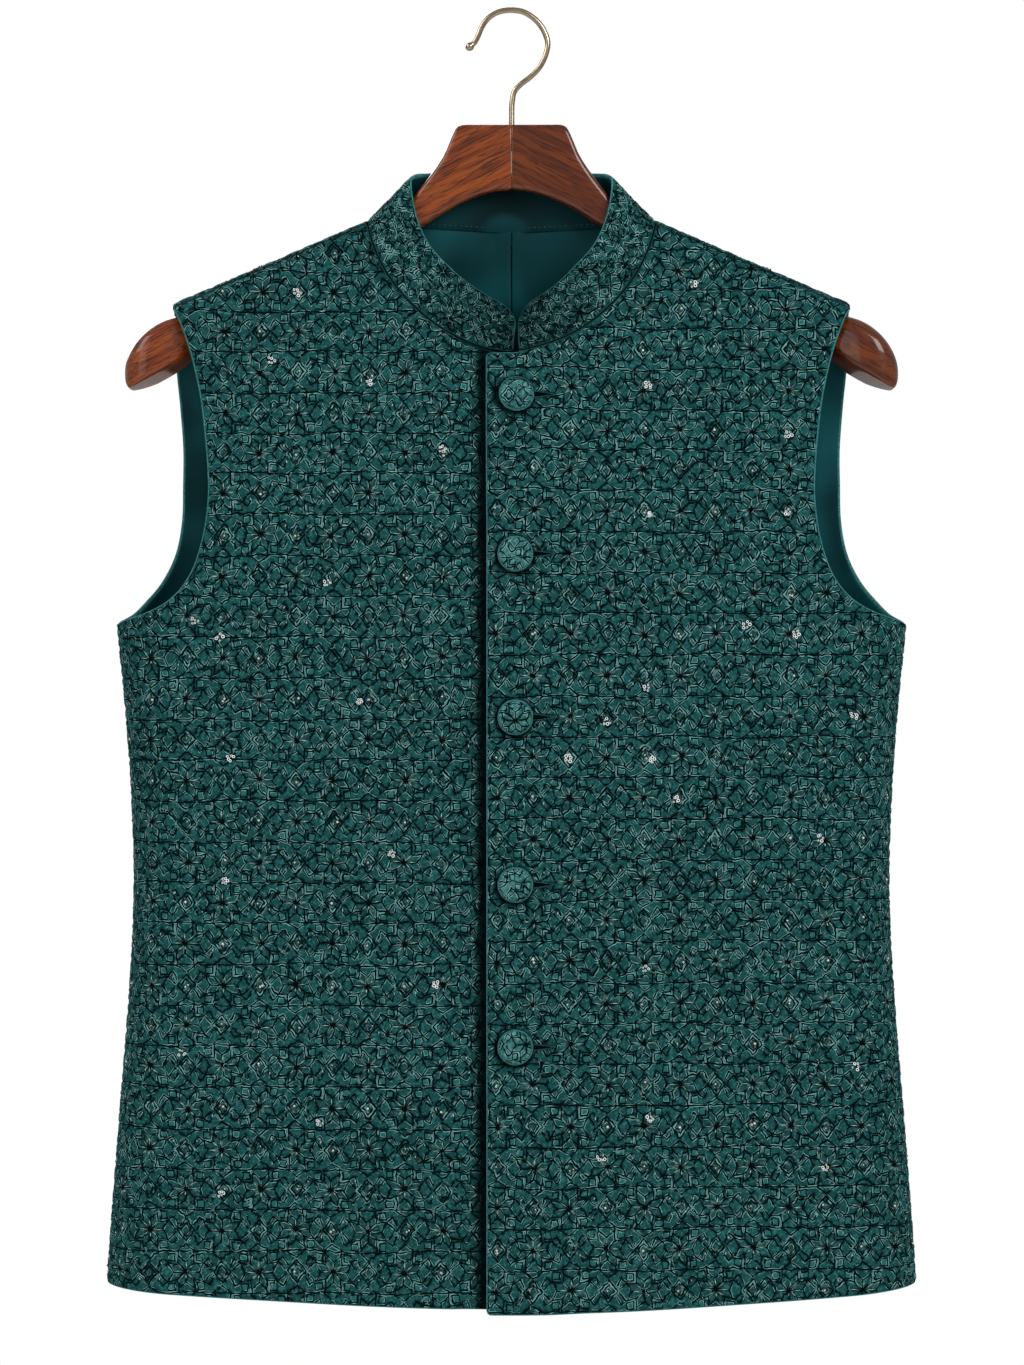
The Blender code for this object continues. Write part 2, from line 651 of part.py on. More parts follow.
def make_front_left(material, collection):
    """The wearer's left front, which laps over and carries the buttonholes."""
    start_x = CENTRE_X + COLLAR_END_GAP / 2
    outline = front_outline(LEFT_HEM_Z, LAP, start_x)
    bm, middles, raised = cut_flat(outline, shoulder_points(FRONT_TURN), True, LEFT_BLOCK)

    def place(across, up, out):
        return form_point(FRONT, across, up, out + lap_lift(across))

    wrap_wall(bm, middles, raised, place, 0.0, WALL)
    return add_object("front_left", bm, material, collection)


def make_front_right(material, collection):
    """The wearer's right front, which goes under and carries the buttons."""
    start_x = COLLAR_END_GAP / 2 - CENTRE_X
    outline = front_outline(RIGHT_HEM_Z, UNDER_LAP, start_x)
    bm, middles, raised = cut_flat(outline, shoulder_points(FRONT_TURN), True)
    bm.verts.ensure_lookup_table()
    covered = {i for i in raised if bm.verts[i].co.x < LAP}

    def place(across, up, out):
        return form_point(FRONT, -across, up, out)

    wrap_wall(bm, middles, raised - covered, place, 0.0, WALL)
    return add_object("front_right", bm, material, collection)


def make_back(material, collection):
    """The back, cut in one and wrapped over the shoulders to the seams."""
    guides = mirror_points(shoulder_points(BACK_TURN))
    bm, middles, raised = cut_flat(back_outline(), guides, True)

    def place(across, up, out):
        return form_point(BACK, across, up, out)

    wrap_wall(bm, middles, raised, place, 0.0, WALL)
    return add_object("back", bm, material, collection)


def make_back_lining(name, mirror, material, collection):
    """One satin half of the back's inside."""
    bm, middles, raised = cut_flat(back_lining_outline(), shoulder_points(LINING_TURN), False)
    sign = -1 if mirror else 1

    def place(across, up, out):
        return form_point(BACK, across * sign, up, out)

    wrap_wall(bm, middles, raised, place, -LINING_GAP - SATIN, -LINING_GAP)
    return add_object(name, bm, material, collection, SMOOTH_ANGLE)


# --- Collar ---------------------------------------------------------------------------------------
def collar_stations():
    """The neck seam as the collar follows it, from one front end round to the other.

    Each station is (side, across, up, along), with along 0 at a front end and 1 at the
    centre back.
    """
    halves = []
    for start_x in (COLLAR_END_GAP / 2 - CENTRE_X, CENTRE_X + COLLAR_END_GAP / 2):
        front = neck_curve(FRONT, start_x, NECK_STEPS)[:-1]
        if start_x < 0.0:
            front[0] = (start_x, front[0][1])
        ends = [tuple(a + (b - a) * step for a, b in zip(*front[:2])) for step in COLLAR_END_STEPS]
        front = [front[0], *ends, *front[1:]]
        back = neck_curve(BACK, 0.0, BACK_NECK_STEPS)[::-1][1:]
        half = [(FRONT, *point) for point in front] + [(BACK, *point) for point in back]
        spots = [form_inner(*station) for station in half]
        lengths = [0.0]
        for before, after in zip(spots, spots[1:]):
            lengths.append(lengths[-1] + (after - before).length)
        halves.append([(*station, length / lengths[-1]) for station, length
                       in zip(half, lengths)])
    right, left = halves
    right = [(side, -across, up, along) for side, across, up, along in right]
    return right + left[-2::-1]


def collar_top(sign, along):
    """A point of the collar's top edge; sign is 1 on the wearer's left and -1 on the right."""
    along = min(max(along, 0.0), 1.0)
    x, y, z = (read_table(COLLAR_TOP, "along", along, axis) for axis in "xyz")
    return Vector((x * sign, y, z))


def collar_place(station, share, out):
    """A point of the collar: share goes from the neck seam, 0, to its top edge, 1."""
    side, across, up, along = station
    foot_normal = form_normal(side, across, up)
    lifted = lap_lift(across) if side == FRONT and across > 0.0 and along < 0.5 else 0.0
    foot = form_inner(side, across, up) + foot_normal * lifted
    sign = math.copysign(1.0, across)
    top = collar_top(sign, along)
    run = collar_top(sign, along + COLLAR_LOOK) - collar_top(sign, along - COLLAR_LOOK)
    band_normal = run.cross(top - foot).normalized() * sign
    nearness = max(1.0 - along / COLLAR_ENDS, 0.0)
    top.x += (CENTRE_X + sign * COLLAR_END_GAP / 2) * nearness
    rise = foot.lerp(top, share)
    lift = (top - foot).normalized() * GAP * (1.0 - share)
    normal = foot_normal.lerp(band_normal, ease(share / COLLAR_FOOT)).normalized()
    return rise + lift + normal * out


def make_band(name, inner, outer, top_share, material, collection):
    """A strip that stands on the neck seam, with rounded front ends."""
    stations = collar_stations()
    count = len(stations)
    bm = bmesh.new()
    bmesh.ops.create_grid(bm, x_segments=count - 1, y_segments=COLLAR_ROWS, size=0.5)
    lengths = [(collar_place(s, 1.0, 0.0) - collar_place(s, 0.0, 0.0)).length
               for s in stations]
    runs = [0.0]
    for before, after in zip(stations, stations[1:]):
        step = (collar_place(after, COLLAR_MIDDLE, 0.0)
                - collar_place(before, COLLAR_MIDDLE, 0.0))
        runs.append(runs[-1] + step.length)
    for vert in bm.verts:
        column = round((vert.co.x + 0.5) * (count - 1))
        share = (vert.co.y + 0.5) * top_share
        end = min(runs[column], runs[-1] - runs[column])
        cut = max(COLLAR_CORNER - end, 0.0)
        drop = COLLAR_CORNER - math.sqrt(COLLAR_CORNER ** 2 - cut ** 2)
        share *= 1.0 - drop / lengths[column]
        vert.co = (column, share, 0.0)

    def place(column, share, out):
        return collar_place(stations[round(column)], share, out)

    wrap_wall(bm, set(), set(), place, inner, outer)
    return add_object(name, bm, material, collection, SMOOTH_ANGLE)


# --- Buttons --------------------------------------------------------------------------------------
def make_button(number, height, material, collection):
    """A cloth-covered domed button, lying on the left front."""
    bm = bmesh.new()
    bmesh.ops.create_uvsphere(bm, u_segments=16, v_segments=8, radius=1.0)
    for vert in bm.verts:
        dome = vert.co.z
        rise = (BUTTON_RISE if dome > 0.0 else BUTTON_BACK) * dome
        vert.co = (BUTTON_RADIUS * vert.co.x, BUTTON_RADIUS * vert.co.y, rise + BUTTON_BACK)
    out = WALL + QUILT_RISE + GAP + lap_lift(CENTRE_X)
    spot = form_point(FRONT, CENTRE_X, height, out)
    facing = form_normal(FRONT, CENTRE_X, height)
    turn = facing.to_track_quat("Z", "Y").to_matrix()
    bmesh.ops.rotate(bm, cent=(0, 0, 0), matrix=turn, verts=bm.verts)
    bmesh.ops.translate(bm, vec=spot, verts=bm.verts)
    return add_object(f"button_{number}", bm, material, collection, SMOOTH_ANGLE)


# --- Hanger and hook ------------------------------------------------------------------------------
def hanger_flare(x):
    """How far the hanger has flared at a place, from 0 to 1 at its end."""
    return ease((x - HANGER_FLARE_X) / (HANGER_TIP[0].x - HANGER_FLARE_X))


def hanger_stations():
    """Every section of one hanger half, from the centre out to the tip."""
    stations = list(HANGER_HEAD)
    lean = math.sqrt(1.0 + SHOULDER_SLOPE ** 2)
    for x in HANGER_ARM_X:
        ridge, radius = ridge_at(x)
        bottom = HANGER_BOTTOM_Z - HANGER_BOTTOM_SLOPE * (x - HANGER_BOTTOM_X)
        bottom -= HANGER_FLARE_DROP * hanger_flare(x)
        stations.append(HangerStation(
            x, ridge - HANGER_CLEARANCE * lean, bottom, radius - HANGER_CLEARANCE,
            HANGER_ARM_SQUARENESS))
    return stations + HANGER_TIP


def make_hanger_half(name, mirror, material, collection, hole):
    """One carved half of the hanger, swept a little forward towards its flared end."""
    stations = hanger_stations()
    bm = bmesh.new()
    bmesh.ops.create_grid(
        bm, x_segments=len(stations) - 1, y_segments=HANGER_SIDES, size=0.5)
    for vert in bm.verts:
        station = stations[round((vert.co.x + 0.5) * (len(stations) - 1))]
        turn = (vert.co.y + 0.5) * 2 * math.pi
        power = 2.0 / station.squareness
        side = math.copysign(abs(math.cos(turn)) ** power, math.cos(turn))
        rise = math.copysign(abs(math.sin(turn)) ** power, math.sin(turn))
        middle = (station.top + station.bottom) / 2
        half_tall = (station.top - station.bottom) / 2
        forward = SWEEP * (station.x / SHOULDER_TIP_X) ** 2
        if rise < 0.0:
            middle += HANGER_TWIST * hanger_flare(station.x) * side * rise
        vert.co = (station.x, station.half_thick * side - forward, middle + half_tall * rise)
    bmesh.ops.remove_doubles(bm, verts=bm.verts, dist=0.01)
    bmesh.ops.holes_fill(bm, edges=bm.edges, sides=HANGER_SIDES + 1)
    bmesh.ops.recalc_face_normals(bm, faces=bm.faces)
    if mirror:
        mirror_x(bm)
    half = add_object(name, bm, material, collection, SMOOTH_ANGLE)
    cut = half.modifiers.new("hook hole", "BOOLEAN")
    cut.operation = "DIFFERENCE"
    cut.solver = "EXACT"
    cut.object = hole
    return half


def make_hook_hole(cutters):
    """The cutter for the hole that the hook's shank goes into."""
    bm = bmesh.new()
    radius = WIRE_RADIUS + HOOK_HOLE_CLEARANCE
    top = HANGER_HEAD[0].top
    bmesh.ops.create_cone(
        bm, cap_ends=True, segments=12, radius1=radius, radius2=radius,
        depth=HOOK_HOLE_DEPTH * 2)
    bmesh.ops.translate(bm, vec=(0, 0, top), verts=bm.verts)
    bmesh.ops.scale(bm, vec=(MM, MM, MM), verts=bm.verts)
    mesh = bpy.data.meshes.new("hook_hole")
    bm.to_mesh(mesh)
    bm.free()
    hole = bpy.data.objects.new("hook_hole", mesh)
    hole.hide_render = True
    hole.display_type = "WIRE"
    cutters.objects.link(hole)
    return hole


def make_hook(material, collection):
    """The bent wire, with a small ball at its end and its shank in the wood."""
    route = curve_through(HOOK_ROUTE, 3)
    curve = bpy.data.curves.new("hook", "CURVE")
    curve.dimensions = "3D"
    curve.bevel_depth = WIRE_RADIUS * MM
    curve.bevel_resolution = 2
    curve.use_fill_caps = True
    spline = curve.splines.new("POLY")
    spline.points.add(len(route) - 1)
    for point, (x, z) in zip(spline.points, route):
        point.co = (x * MM, 0.0, z * MM, 1.0)
    for point, radius in zip(spline.points, HOOK_BALL_RADII):
        point.radius = radius
    curve.materials.append(material)
    hook = bpy.data.objects.new("hook", curve)
    collection.objects.link(hook)
    return hook


def build():
    """Make every piece."""
    for thing in list(bpy.data.objects):
        bpy.data.objects.remove(thing)
    pieces = bpy.data.collections.new("nehru_jacket_on_hanger")
    cutters = bpy.data.collections.new("cutters")
    for collection in (pieces, cutters):
        bpy.context.scene.collection.children.link(collection)
    velvet = make_material("quilted_velvet", (0.020, 0.120, 0.115), 0.85, sheen=0.6)
    satin = make_material("lining_satin", (0.006, 0.045, 0.050), 0.35)
    wood = make_material("lacquered_wood", (0.160, 0.045, 0.018), 0.30)
    metal = make_material("brushed_metal", (0.420, 0.350, 0.270), 0.35, metallic=1.0)
    make_front_left(velvet, pieces)
    make_front_right(velvet, pieces)
    make_back(velvet, pieces)
    make_back_lining("back_lining_left", False, satin, pieces)
    make_back_lining("back_lining_right", True, satin, pieces)
    make_band("collar", 0.0, COLLAR_WALL, 1.0, velvet, pieces)
    make_band("collar_lining", -COLLAR_LINING_GAP - SATIN, -COLLAR_LINING_GAP,
              COLLAR_LINING_SHARE, satin, pieces)
    for number, height in enumerate(BUTTON_HEIGHTS, start=1):
        make_button(number, height, velvet, pieces)
    hole = make_hook_hole(cutters)
    make_hanger_half("hanger_left", False, wood, pieces, hole)
    make_hanger_half("hanger_right", True, wood, pieces, hole)
    make_hook(metal, pieces)


build()
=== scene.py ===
"""The looks of a quilted velvet jacket with a band collar, hanging on a lacquered hanger.

The cloth follows the same form as the solids: each sheet is laid out flat, in millimetres
across and up, and carried to its place.  Axes: +X to the wearer's left, -Y to the front, +Z
up, with the origin inside the top of the hook.  Sizes are in millimetres unless named _m.
"""

import math
from collections import namedtuple

import bmesh
import bpy
import numpy as np
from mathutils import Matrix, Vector


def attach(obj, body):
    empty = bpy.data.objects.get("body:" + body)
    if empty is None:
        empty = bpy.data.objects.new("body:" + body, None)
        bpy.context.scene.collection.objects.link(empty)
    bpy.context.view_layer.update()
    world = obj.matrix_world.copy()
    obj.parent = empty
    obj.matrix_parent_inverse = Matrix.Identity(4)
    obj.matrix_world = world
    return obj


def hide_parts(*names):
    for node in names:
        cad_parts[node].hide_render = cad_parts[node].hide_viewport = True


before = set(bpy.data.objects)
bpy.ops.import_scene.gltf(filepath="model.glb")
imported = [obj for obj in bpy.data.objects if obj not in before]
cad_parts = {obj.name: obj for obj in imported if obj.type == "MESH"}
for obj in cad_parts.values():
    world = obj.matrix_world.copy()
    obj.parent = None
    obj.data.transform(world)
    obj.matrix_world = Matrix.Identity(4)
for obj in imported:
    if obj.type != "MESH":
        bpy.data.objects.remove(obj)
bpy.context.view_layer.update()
scene = bpy.context.scene

MM = 0.001
FRONT = -1
BACK = 1

# --- Cloth, as the solids have it -------------------------------------------------------------
WALL = 2.4
SATIN = 1.0
GAP = 0.3
LINING_GAP = 2.4
BLOCK_WIDE = 23.4
BLOCK_TALL = 26.2

Section = namedtuple("Section", "height half_width side_radius crown")
SECTIONS = [Section(*row) for row in (
    (-100.0, 256.0, 40.0, 6.0),
    (-330.0, 256.0, 40.0, 7.0),
    (-396.0, 255.6, 40.0, 8.0),
    (-446.0, 251.1, 39.0, 8.0),
    (-498.0, 247.2, 38.0, 8.0),
    (-563.0, 245.0, 38.0, 8.0),
    (-628.0, 247.6, 39.0, 8.0),
    (-732.0, 255.7, 41.0, 8.0),
    (-817.0, 262.0, 42.0, 7.0),
    (-860.0, 264.0, 42.0, 7.0),
)]
NECK_POINT_X = 93.0
NECK_POINT_Z = -135.3
SHOULDER_TIP_X = 218.0
SHOULDER_SLOPE = 0.437
RIDGE_RADIUS_IN = 12.0
RIDGE_RADIUS_OUT = 22.0
RIDGE_FLARE = 1.5
OPENING_DROP = 220.0
SWEEP = 12.0
FRONT_TURN = 60.0
LINING_TURN = 80.0
BACK_TURN = 120.0

UNDERARM_Z = -396.4
FRONT_ARMHOLE = [          # across and up, as seen from the front or the back
    (250.0, -395.3), (233.3, -389.7), (217.5, -380.1), (205.3, -363.5),
    (198.0, -339.7), (195.2, -316.5), (195.5, -297.7), (197.7, -272.4),
    (200.5, -250.3), (205.6, -226.9), (211.5, -208.5),
]
BACK_ARMHOLE = [
    (247.0, -391.0), (237.5, -380.5), (228.0, -367.7), (220.0, -350.4),
    (215.9, -329.3), (214.9, -305.6), (214.5, -282.0), (216.3, -253.6),
    (218.3, -231.9), (219.0, -210.0),
]
NECK_DROP = 87.7
NECK_ROUNDNESS = 1.7
BACK_NECK_DIP = 5.0
CENTRE_X = 2.4
COLLAR_END_GAP = 3.8
COLLAR_CORNER = 15.0
COLLAR_FOOT = 0.25
COLLAR_ENDS = 0.3
COLLAR_LOOK = 0.02
COLLAR_MIDDLE = 0.6
COLLAR_LINING_SHARE = 0.94
CollarTop = namedtuple("CollarTop", "along x y z")
COLLAR_TOP = [CollarTop(*row) for row in (
    (0.00, 0.0, -15.0, -194.0),
    (0.10, 14.5, -15.0, -186.0),
    (0.20, 28.5, -15.0, -176.5),
    (0.30, 41.0, -15.0, -165.5),
    (0.40, 52.3, -15.0, -153.0),
    (0.45, 58.0, -15.0, -142.5),
    (0.50, 62.0, -14.5, -130.5),
    (0.55, 64.0, -10.5, -117.0),
    (0.60, 63.5, -2.0, -107.5),
    (0.70, 53.0, 8.5, -103.5),
    (0.85, 28.0, 13.5, -102.5),
    (1.00, 0.0, 15.0, -102.5),
)]
LAP = 16.0
LAP_LIFT = 4.0
LAP_LIFT_FROM = 48.0
LAP_LIFT_FULL = 20.0
UNDER_LAP = 15.0
LAP_CORNER = 3.2
LAP_TOP_DROP = 1.5
BUTTON_HEIGHTS = (-251.9, -353.0, -457.0, -564.2, -667.9)
BUTTON_RADIUS = 11.4
BUTTON_RISE = 5.6
LEFT_HEM_Z = -839.0
RIGHT_HEM_Z = -836.0
BACK_HEM_Z = -834.0
SIDE_HEM_Z = -824.0
HEM_BEND = 1.8
HEM_CORNER = 5.0
LINING_EDGE = 1.3          # the lining stops this far inside the armhole and the side
LINING_HEM_RISE = 12.0

Fold = namedtuple("Fold", "side across top bottom lean half_width depth")
FOLDS = [Fold(*row) for row in (
    (FRONT, 118.0, -420.0, -880.0, 0.05, 34.0, 2.4),
    (FRONT, 206.0, -400.0, -640.0, -0.16, 22.0, 2.2),
    (FRONT, -132.0, -470.0, -880.0, -0.04, 38.0, 2.2),
    (FRONT, -204.0, -410.0, -660.0, 0.17, 24.0, 2.4),
    (FRONT, 168.0, -200.0, -380.0, 0.20, 22.0, 1.8),
    (FRONT, -166.0, -205.0, -370.0, -0.22, 22.0, 1.6),
    (BACK, 92.0, -330.0, -880.0, 0.06, 40.0, 4.5),
    (BACK, -84.0, -350.0, -880.0, -0.05, 42.0, 4.0),
    (BACK, 8.0, -480.0, -880.0, 0.02, 36.0, 3.0),
    (BACK, 190.0, -390.0, -700.0, -0.14, 26.0, 3.0),
    (BACK, -192.0, -380.0, -690.0, 0.13, 26.0, 3.0),
)]
FOLD_NARROW = 0.6
FOLD_WIDENS = 0.7
FOLD_FADE = 1.0 / 3.0
FOLD_RUNS_OUT = -800.0
FOLD_CLEAR = 60.0

# --- Hanger, as the solids have it ------------------------------------------------------------
HANGER_CLEARANCE = 6.3
HangerStation = namedtuple("HangerStation", "x top bottom half_thick squareness")
HANGER_HEAD = [HangerStation(*row) for row in (
    (0.15, -72.8, -115.0, 7.2, 5.0),
    (12.0, -72.8, -116.4, 7.2, 5.0),
    (24.0, -72.8, -120.0, 7.2, 5.0),
    (32.0, -73.0, -123.4, 7.2, 5.0),
    (36.0, -75.0, -125.4, 7.2, 5.0),
    (39.5, -82.0, -127.4, 7.3, 4.8),
    (43.5, -91.5, -129.8, 7.4, 4.6),
    (48.5, -99.8, -133.0, 7.6, 4.2),
    (54.5, -108.0, -137.0, 7.8, 3.8),
    (63.5, -119.5, -142.0, 7.9, 3.2),
    (70.0, -130.5, -145.6, 8.0, 2.8),
    (78.0, -138.7, -150.0, 8.0, 2.5),
    (87.0, -142.3, -155.0, 8.3, 2.4),
)]
HANGER_ARM_X = (98.0, 120.0, 145.0, 170.0, 195.0, 216.0)
HANGER_BOTTOM_X = 57.0
HANGER_BOTTOM_Z = -138.4
HANGER_BOTTOM_SLOPE = 0.552
# Before the end is rounded over:
HANGER_TIP = [HangerStation(*row) for row in (
    (220.8, -198.7, -233.9, 17.0, 2.5),
    (227.9, -202.3, -238.0, 17.0, 2.5),
    (236.5, -206.6, -242.4, 17.0, 2.5),
    (243.6, -208.6, -245.3, 17.0, 2.5),
    (249.8, -212.0, -246.9, 17.0, 2.5),
)]
HANGER_END_X = 249.8
HANGER_END_Z = -235.2
HANGER_ROUND_TOP = 228.5   # the top, the faces and the underside round over from here
HANGER_ROUND_FACE = 232.0
HANGER_ROUND_BOTTOM = 244.8
HANGER_EASING = 6.0        # how far along its corners are eased out, fully so after the fade
HANGER_EASING_FADE = 30.0
HANGER_UNTWIST = 18.0      # the underside's twist dies out over this much, short of the tip
HANGER_UNTWIST_SHORT = 2.0
HANGER_START_X = 0.04      # where each half's cut face lies beside the centre
HANGER_FINE_X = 60.0       # its sections are closer together up to here
HANGER_SECTION_GAP = 2.0   # between the three groups of its sections
HANGER_EDGES_FROM = 204.0  # outside the jacket the edges are crisper, most so below
HANGER_EDGES_FULL = 220.0
HANGER_EDGE_TOP = 3.0
HANGER_EDGE_BOTTOM = 9.0
HANGER_FLARE_X = 130.0
HANGER_FLARE_DROP = 4.9
HANGER_TWIST = 2.8
HANGER_ARM_SQUARENESS = 2.3
WIRE_RADIUS = 1.9
HOOK_HOLE_DEPTH = 18.0
HOOK_ROUTE = [             # across and up, the wire's middle
    (-27.2, -21.8), (-24.4, -19.4), (-21.9, -15.0), (-19.7, -9.6),
    (-16.4, -4.6), (-11.8, -0.8), (-6.3, 1.3), (0.0, 1.9),
    (7.6, 0.7), (14.3, -3.3), (19.4, -8.8), (22.7, -15.5),
    (23.4, -21.0), (21.8, -28.0), (18.1, -35.2), (12.6, -41.1),
    (5.9, -46.3), (1.8, -51.0), (0.3, -58.0), (0.0, -66.0),
    (0.0, -72.8 - HOOK_HOLE_DEPTH + 1.0),
]

# --- The finer surface ------------------------------------------------------------------------
CELL_ACROSS = 1.65         # the fronts' points are this far apart
CELL_UP = 1.75
BACK_CELL = 2.15
LINING_CELL = 5.0
COLLAR_LINING_CELL = 3.0
PUFF = 0.65                # how far the quilted cells stand out
PUFF_WIDTH = 1.7           # from a stitched line to the cell's full height
PLAIN_EDGE = 1.6           # the quilting rises over this much towards a panel's middle,
PLAIN_SHARE = 0.6          # from a plain edge that is this share of it wide
TURN_IN = 9.0              # cloth folded to the inside along every edge
ROLL_TURNS = (45.0, 90.0, 135.0, 180.0)
SIDE_STEP = 2.0            # an edge has a point at least this often
SIDE_REACH = 0.9           # and its direction is taken over this much each way
EDGE_BEND = 60.0           # this far in, rows still follow the curve of the hem or the top
BACK_BEND = 90.0
COLLAR_BEND = 16.0
ARC_STEPS = 6              # spans in the curves of the flat patterns
NECK_STEPS = 60
BACK_NECK_STEPS = 40
SHOULDER_STEPS = 24
SIDE_SEAM_STEPS = 60
# Rows of points join a front's edge at this height, its upper corner and its neck to these
# points of the armhole, and on the back one armhole to the other.
FRONT_LOW_MARK = -308.0
FRONT_MARKS = [(195.5, -297.7), (204.0, -234.0), (206.5, -223.0)]
BACK_MARK = (215.0, -300.0)
LINING_RINGS = [(0.5, -1.0), (0.15, -0.85), (0.0, -0.5), (0.15, -0.15), (0.5, 0.0), (4.0, 0.0)]
LINING_SEAM = 0.5
LINING_LOOSE = 18.0        # the back's satin hangs free this far inside its sewn edges,
LINING_SEAM_LOOSE = 12.0   # and this near its centre seam, which isn't sewn down,
LINING_FREE = 0.4          # this much nearer the velvet than the solids have it,
LINING_SWING = 0.8         # swaying in slow waves
LINING_SWING_FADE = 40.0
SEAM_SHADE = 1.6           # painted shade darkens the pile this near a seam
FOLD_SHADE = 0.97          # painted shade beside the lap on the right front, out to the reach
FOLD_SHADE_REACH = 12.0
FOLD_SHADE_FADE = 9.5
BUTTON_SHADE = 0.9         # a button's shade falls a little to its side and below it
BUTTON_SHADE_LEFT = 0.5
BUTTON_SHADE_DOWN = 0.8
BUTTON_SHADE_REACH = 1.2   # it ends this many fades off
SHADE_FADE = 2.6
DIP = 3.0                  # the right front sinks this much under the left one's edge
DIP_FROM = 26.0
DIP_FULL = 9.0
COLLAR_CLOTH = 2.1         # the collar's cloth, unraised
COLLAR_SCALE = 0.8
COLLAR_PUFF = 0.45
COLLAR_END_SHADE = 0.6           # painted shade, darker towards the collar's ends
COLLAR_END_SHADE_FADE = 90.0
COLLAR_BULGE_WIDE = 15.0   # a soft bulge in the collar's lining over the centre back
COLLAR_BULGE_HIGH = 11.0
COLLAR_BULGE_OUT = 0.8
CREASE_SHADE = 0.82        # the satin's shade close round the bulge,
CREASE_AROUND = 0.3        # and what is left of it beyond the reach
CREASE_REACH = 60.0
COLLAR_OVERLAP = 2.2       # the collar's lining covers the neck seam,
COLLAR_OVER_OUT = 0.9      # standing proud of it from this height down, fully after the fade
COLLAR_OVER_HIGH = 5.0
COLLAR_OVER_FADE = 4.0
COLLAR_LINING_SHORT = 1.5  # it stops this far inside the collar's ends
COLLAR_SOFT = 0.5          # and is a little padded away from its edges
COLLAR_SOFT_FADE = 5.0
BALL_RADIUS = 2.9
BALL_ARC = math.pi * 0.78  # the ball's outline runs this far round, then the wire goes on
BALL_CLEAR = 0.6           # from this far beyond it
BALL_POINTS = 30           # the route's first points, the only ones that can lie in the ball
HANGER_SIDES = 64
BUTTON_PATTERNS = [(0.3, 1.1), (0.5, 0.62), (0.0, 0.08), (1.5, 0.4), (0.62, 0.9)]
BUTTON_OUT = 1.2
BUTTON_RIM = 0.3           # its pattern ends about this far inside its rim
HOLE_START = 6.0
HOLE_END = 28.0
HOLE_OPEN = 2.8
HOLE_TAPER = 0.85
HOLE_SHADE = 0.75
HOLE_SHADE_REACH = 1.4     # in fades, too
HOLE_SHADE_SHORT = 3.0     # it stops this far before the hole's outer end
SLIT_INSIDE = 0.1          # the dark mouth lies this far inside the cord
SLIT_THICK = 0.15
SLIT_OUT = 0.12            # above the quilting
CORD_OUT = 0.1
CORD_RADIUS = 0.35
STITCH_OUT = 0.55
STITCH_STRAY = (0.22, 0.40)              # how far a stitch's two ends stray
STITCH_WIDTHS = (0.85, 1.35)             # and its width, against the table's
STITCH_EDGE = 2.6          # none nearer a panel's edge than this
BUTTON_CLEAR = (-11.0, 15.0, 12.5)       # nothing is sewn beside a button: from, to, up and down
HOLE_CLEAR = (0.0, HOLE_END + 2.5, 3.2)
LAP_CLEAR = 6.0            # nor this near the lap on the front under it
CURLS_APART = 13.5         # loose curls of thread on the panels, and crowded ones on the collar
CURL_RADII = (1.1, 2.4)
CURL_THICK = 0.26
CURL_EDGE = 4.0
COLLAR_CURLS_APART = 4.6
COLLAR_CURLS_FROM = (5.0, 4.5)           # from the collar's ends and from its foot
COLLAR_CURL_THICK = 0.20
COLLAR_CURL_OUT = 0.35
COLLAR_CURL_EDGE = 3.8
COLLAR_CURL_CORNER = 12.0
TOPSTITCH_STEP = 3.0
TOPSTITCH_SHARE = 0.72     # of each step is thread
TOPSTITCH_RISE = 1.0
TOPSTITCH_THICK = 0.34
TOPSTITCH_OUT = 1.4        # how far in the collar's satin stands where it is sewn
TOPSTITCH_SHORT = 20.0     # it stops this far from the collar's ends
SEAM_THREAD_RADIUS = 0.4
SEAM_THREAD_SHORT = 1.5    # it stops this far inside both ends of the side seam
BEAD_EDGE = 4.5            # no bead nearer a panel's edge than this
SEQUIN_PARTS = 5           # small cupped sequins in a cluster
SEQUIN_OFF = (0.9, 2.5)    # from its middle
SEQUIN_RADII = (0.6, 1.25)
SEQUIN_TILT = 0.34         # how much they lean, as a slope
SEQUIN_OUT = 0.5
SEQUINS = [                # where they flash, across and up
    (-139.0, -184.0), (-155.0, -228.0), (-91.0, -243.0), (-44.0, -286.0), (-118.0, -371.0),
    (-203.0, -396.0), (-187.0, -406.0), (-97.0, -447.0), (-180.0, -483.0), (-76.0, -544.0),
    (-184.0, -562.0), (-48.0, -628.0), (-211.0, -672.0), (-123.0, -717.0), (-186.0, -762.0),
    (118.0, -178.0), (88.0, -244.0), (178.0, -276.0), (88.0, -328.0), (177.0, -326.0),
    (182.0, -404.0), (150.0, -398.0), (86.0, -438.0), (219.0, -456.0), (89.0, -484.0),
    (60.5, -460.0), (36.0, -483.5),
    (105.0, -510.0), (198.0, -535.0), (85.0, -618.0), (220.0, -681.0), (88.0, -714.0),
    (201.0, -746.0), (57.0, -739.0),
]
AMBIENT = 0.34
LIGHTS = (("key", (1.5, -1.9, 0.9), 1.3, 40.0), ("fill", (-1.4, -2.4, 0.2), 1.6, 7.0),
          ("side", (-1.74, -1.03, 1.01), 1.3, 19.0), ("behind", (-0.8, 2.2, 0.9), 1.6, 30.0))


# --- Small tools ------------------------------------------------------------------------------
def ease(part):
    """Go smoothly from 0 to 1 as part does."""
    part = np.clip(part, 0.0, 1.0)
    return part * part * (3.0 - 2.0 * part)


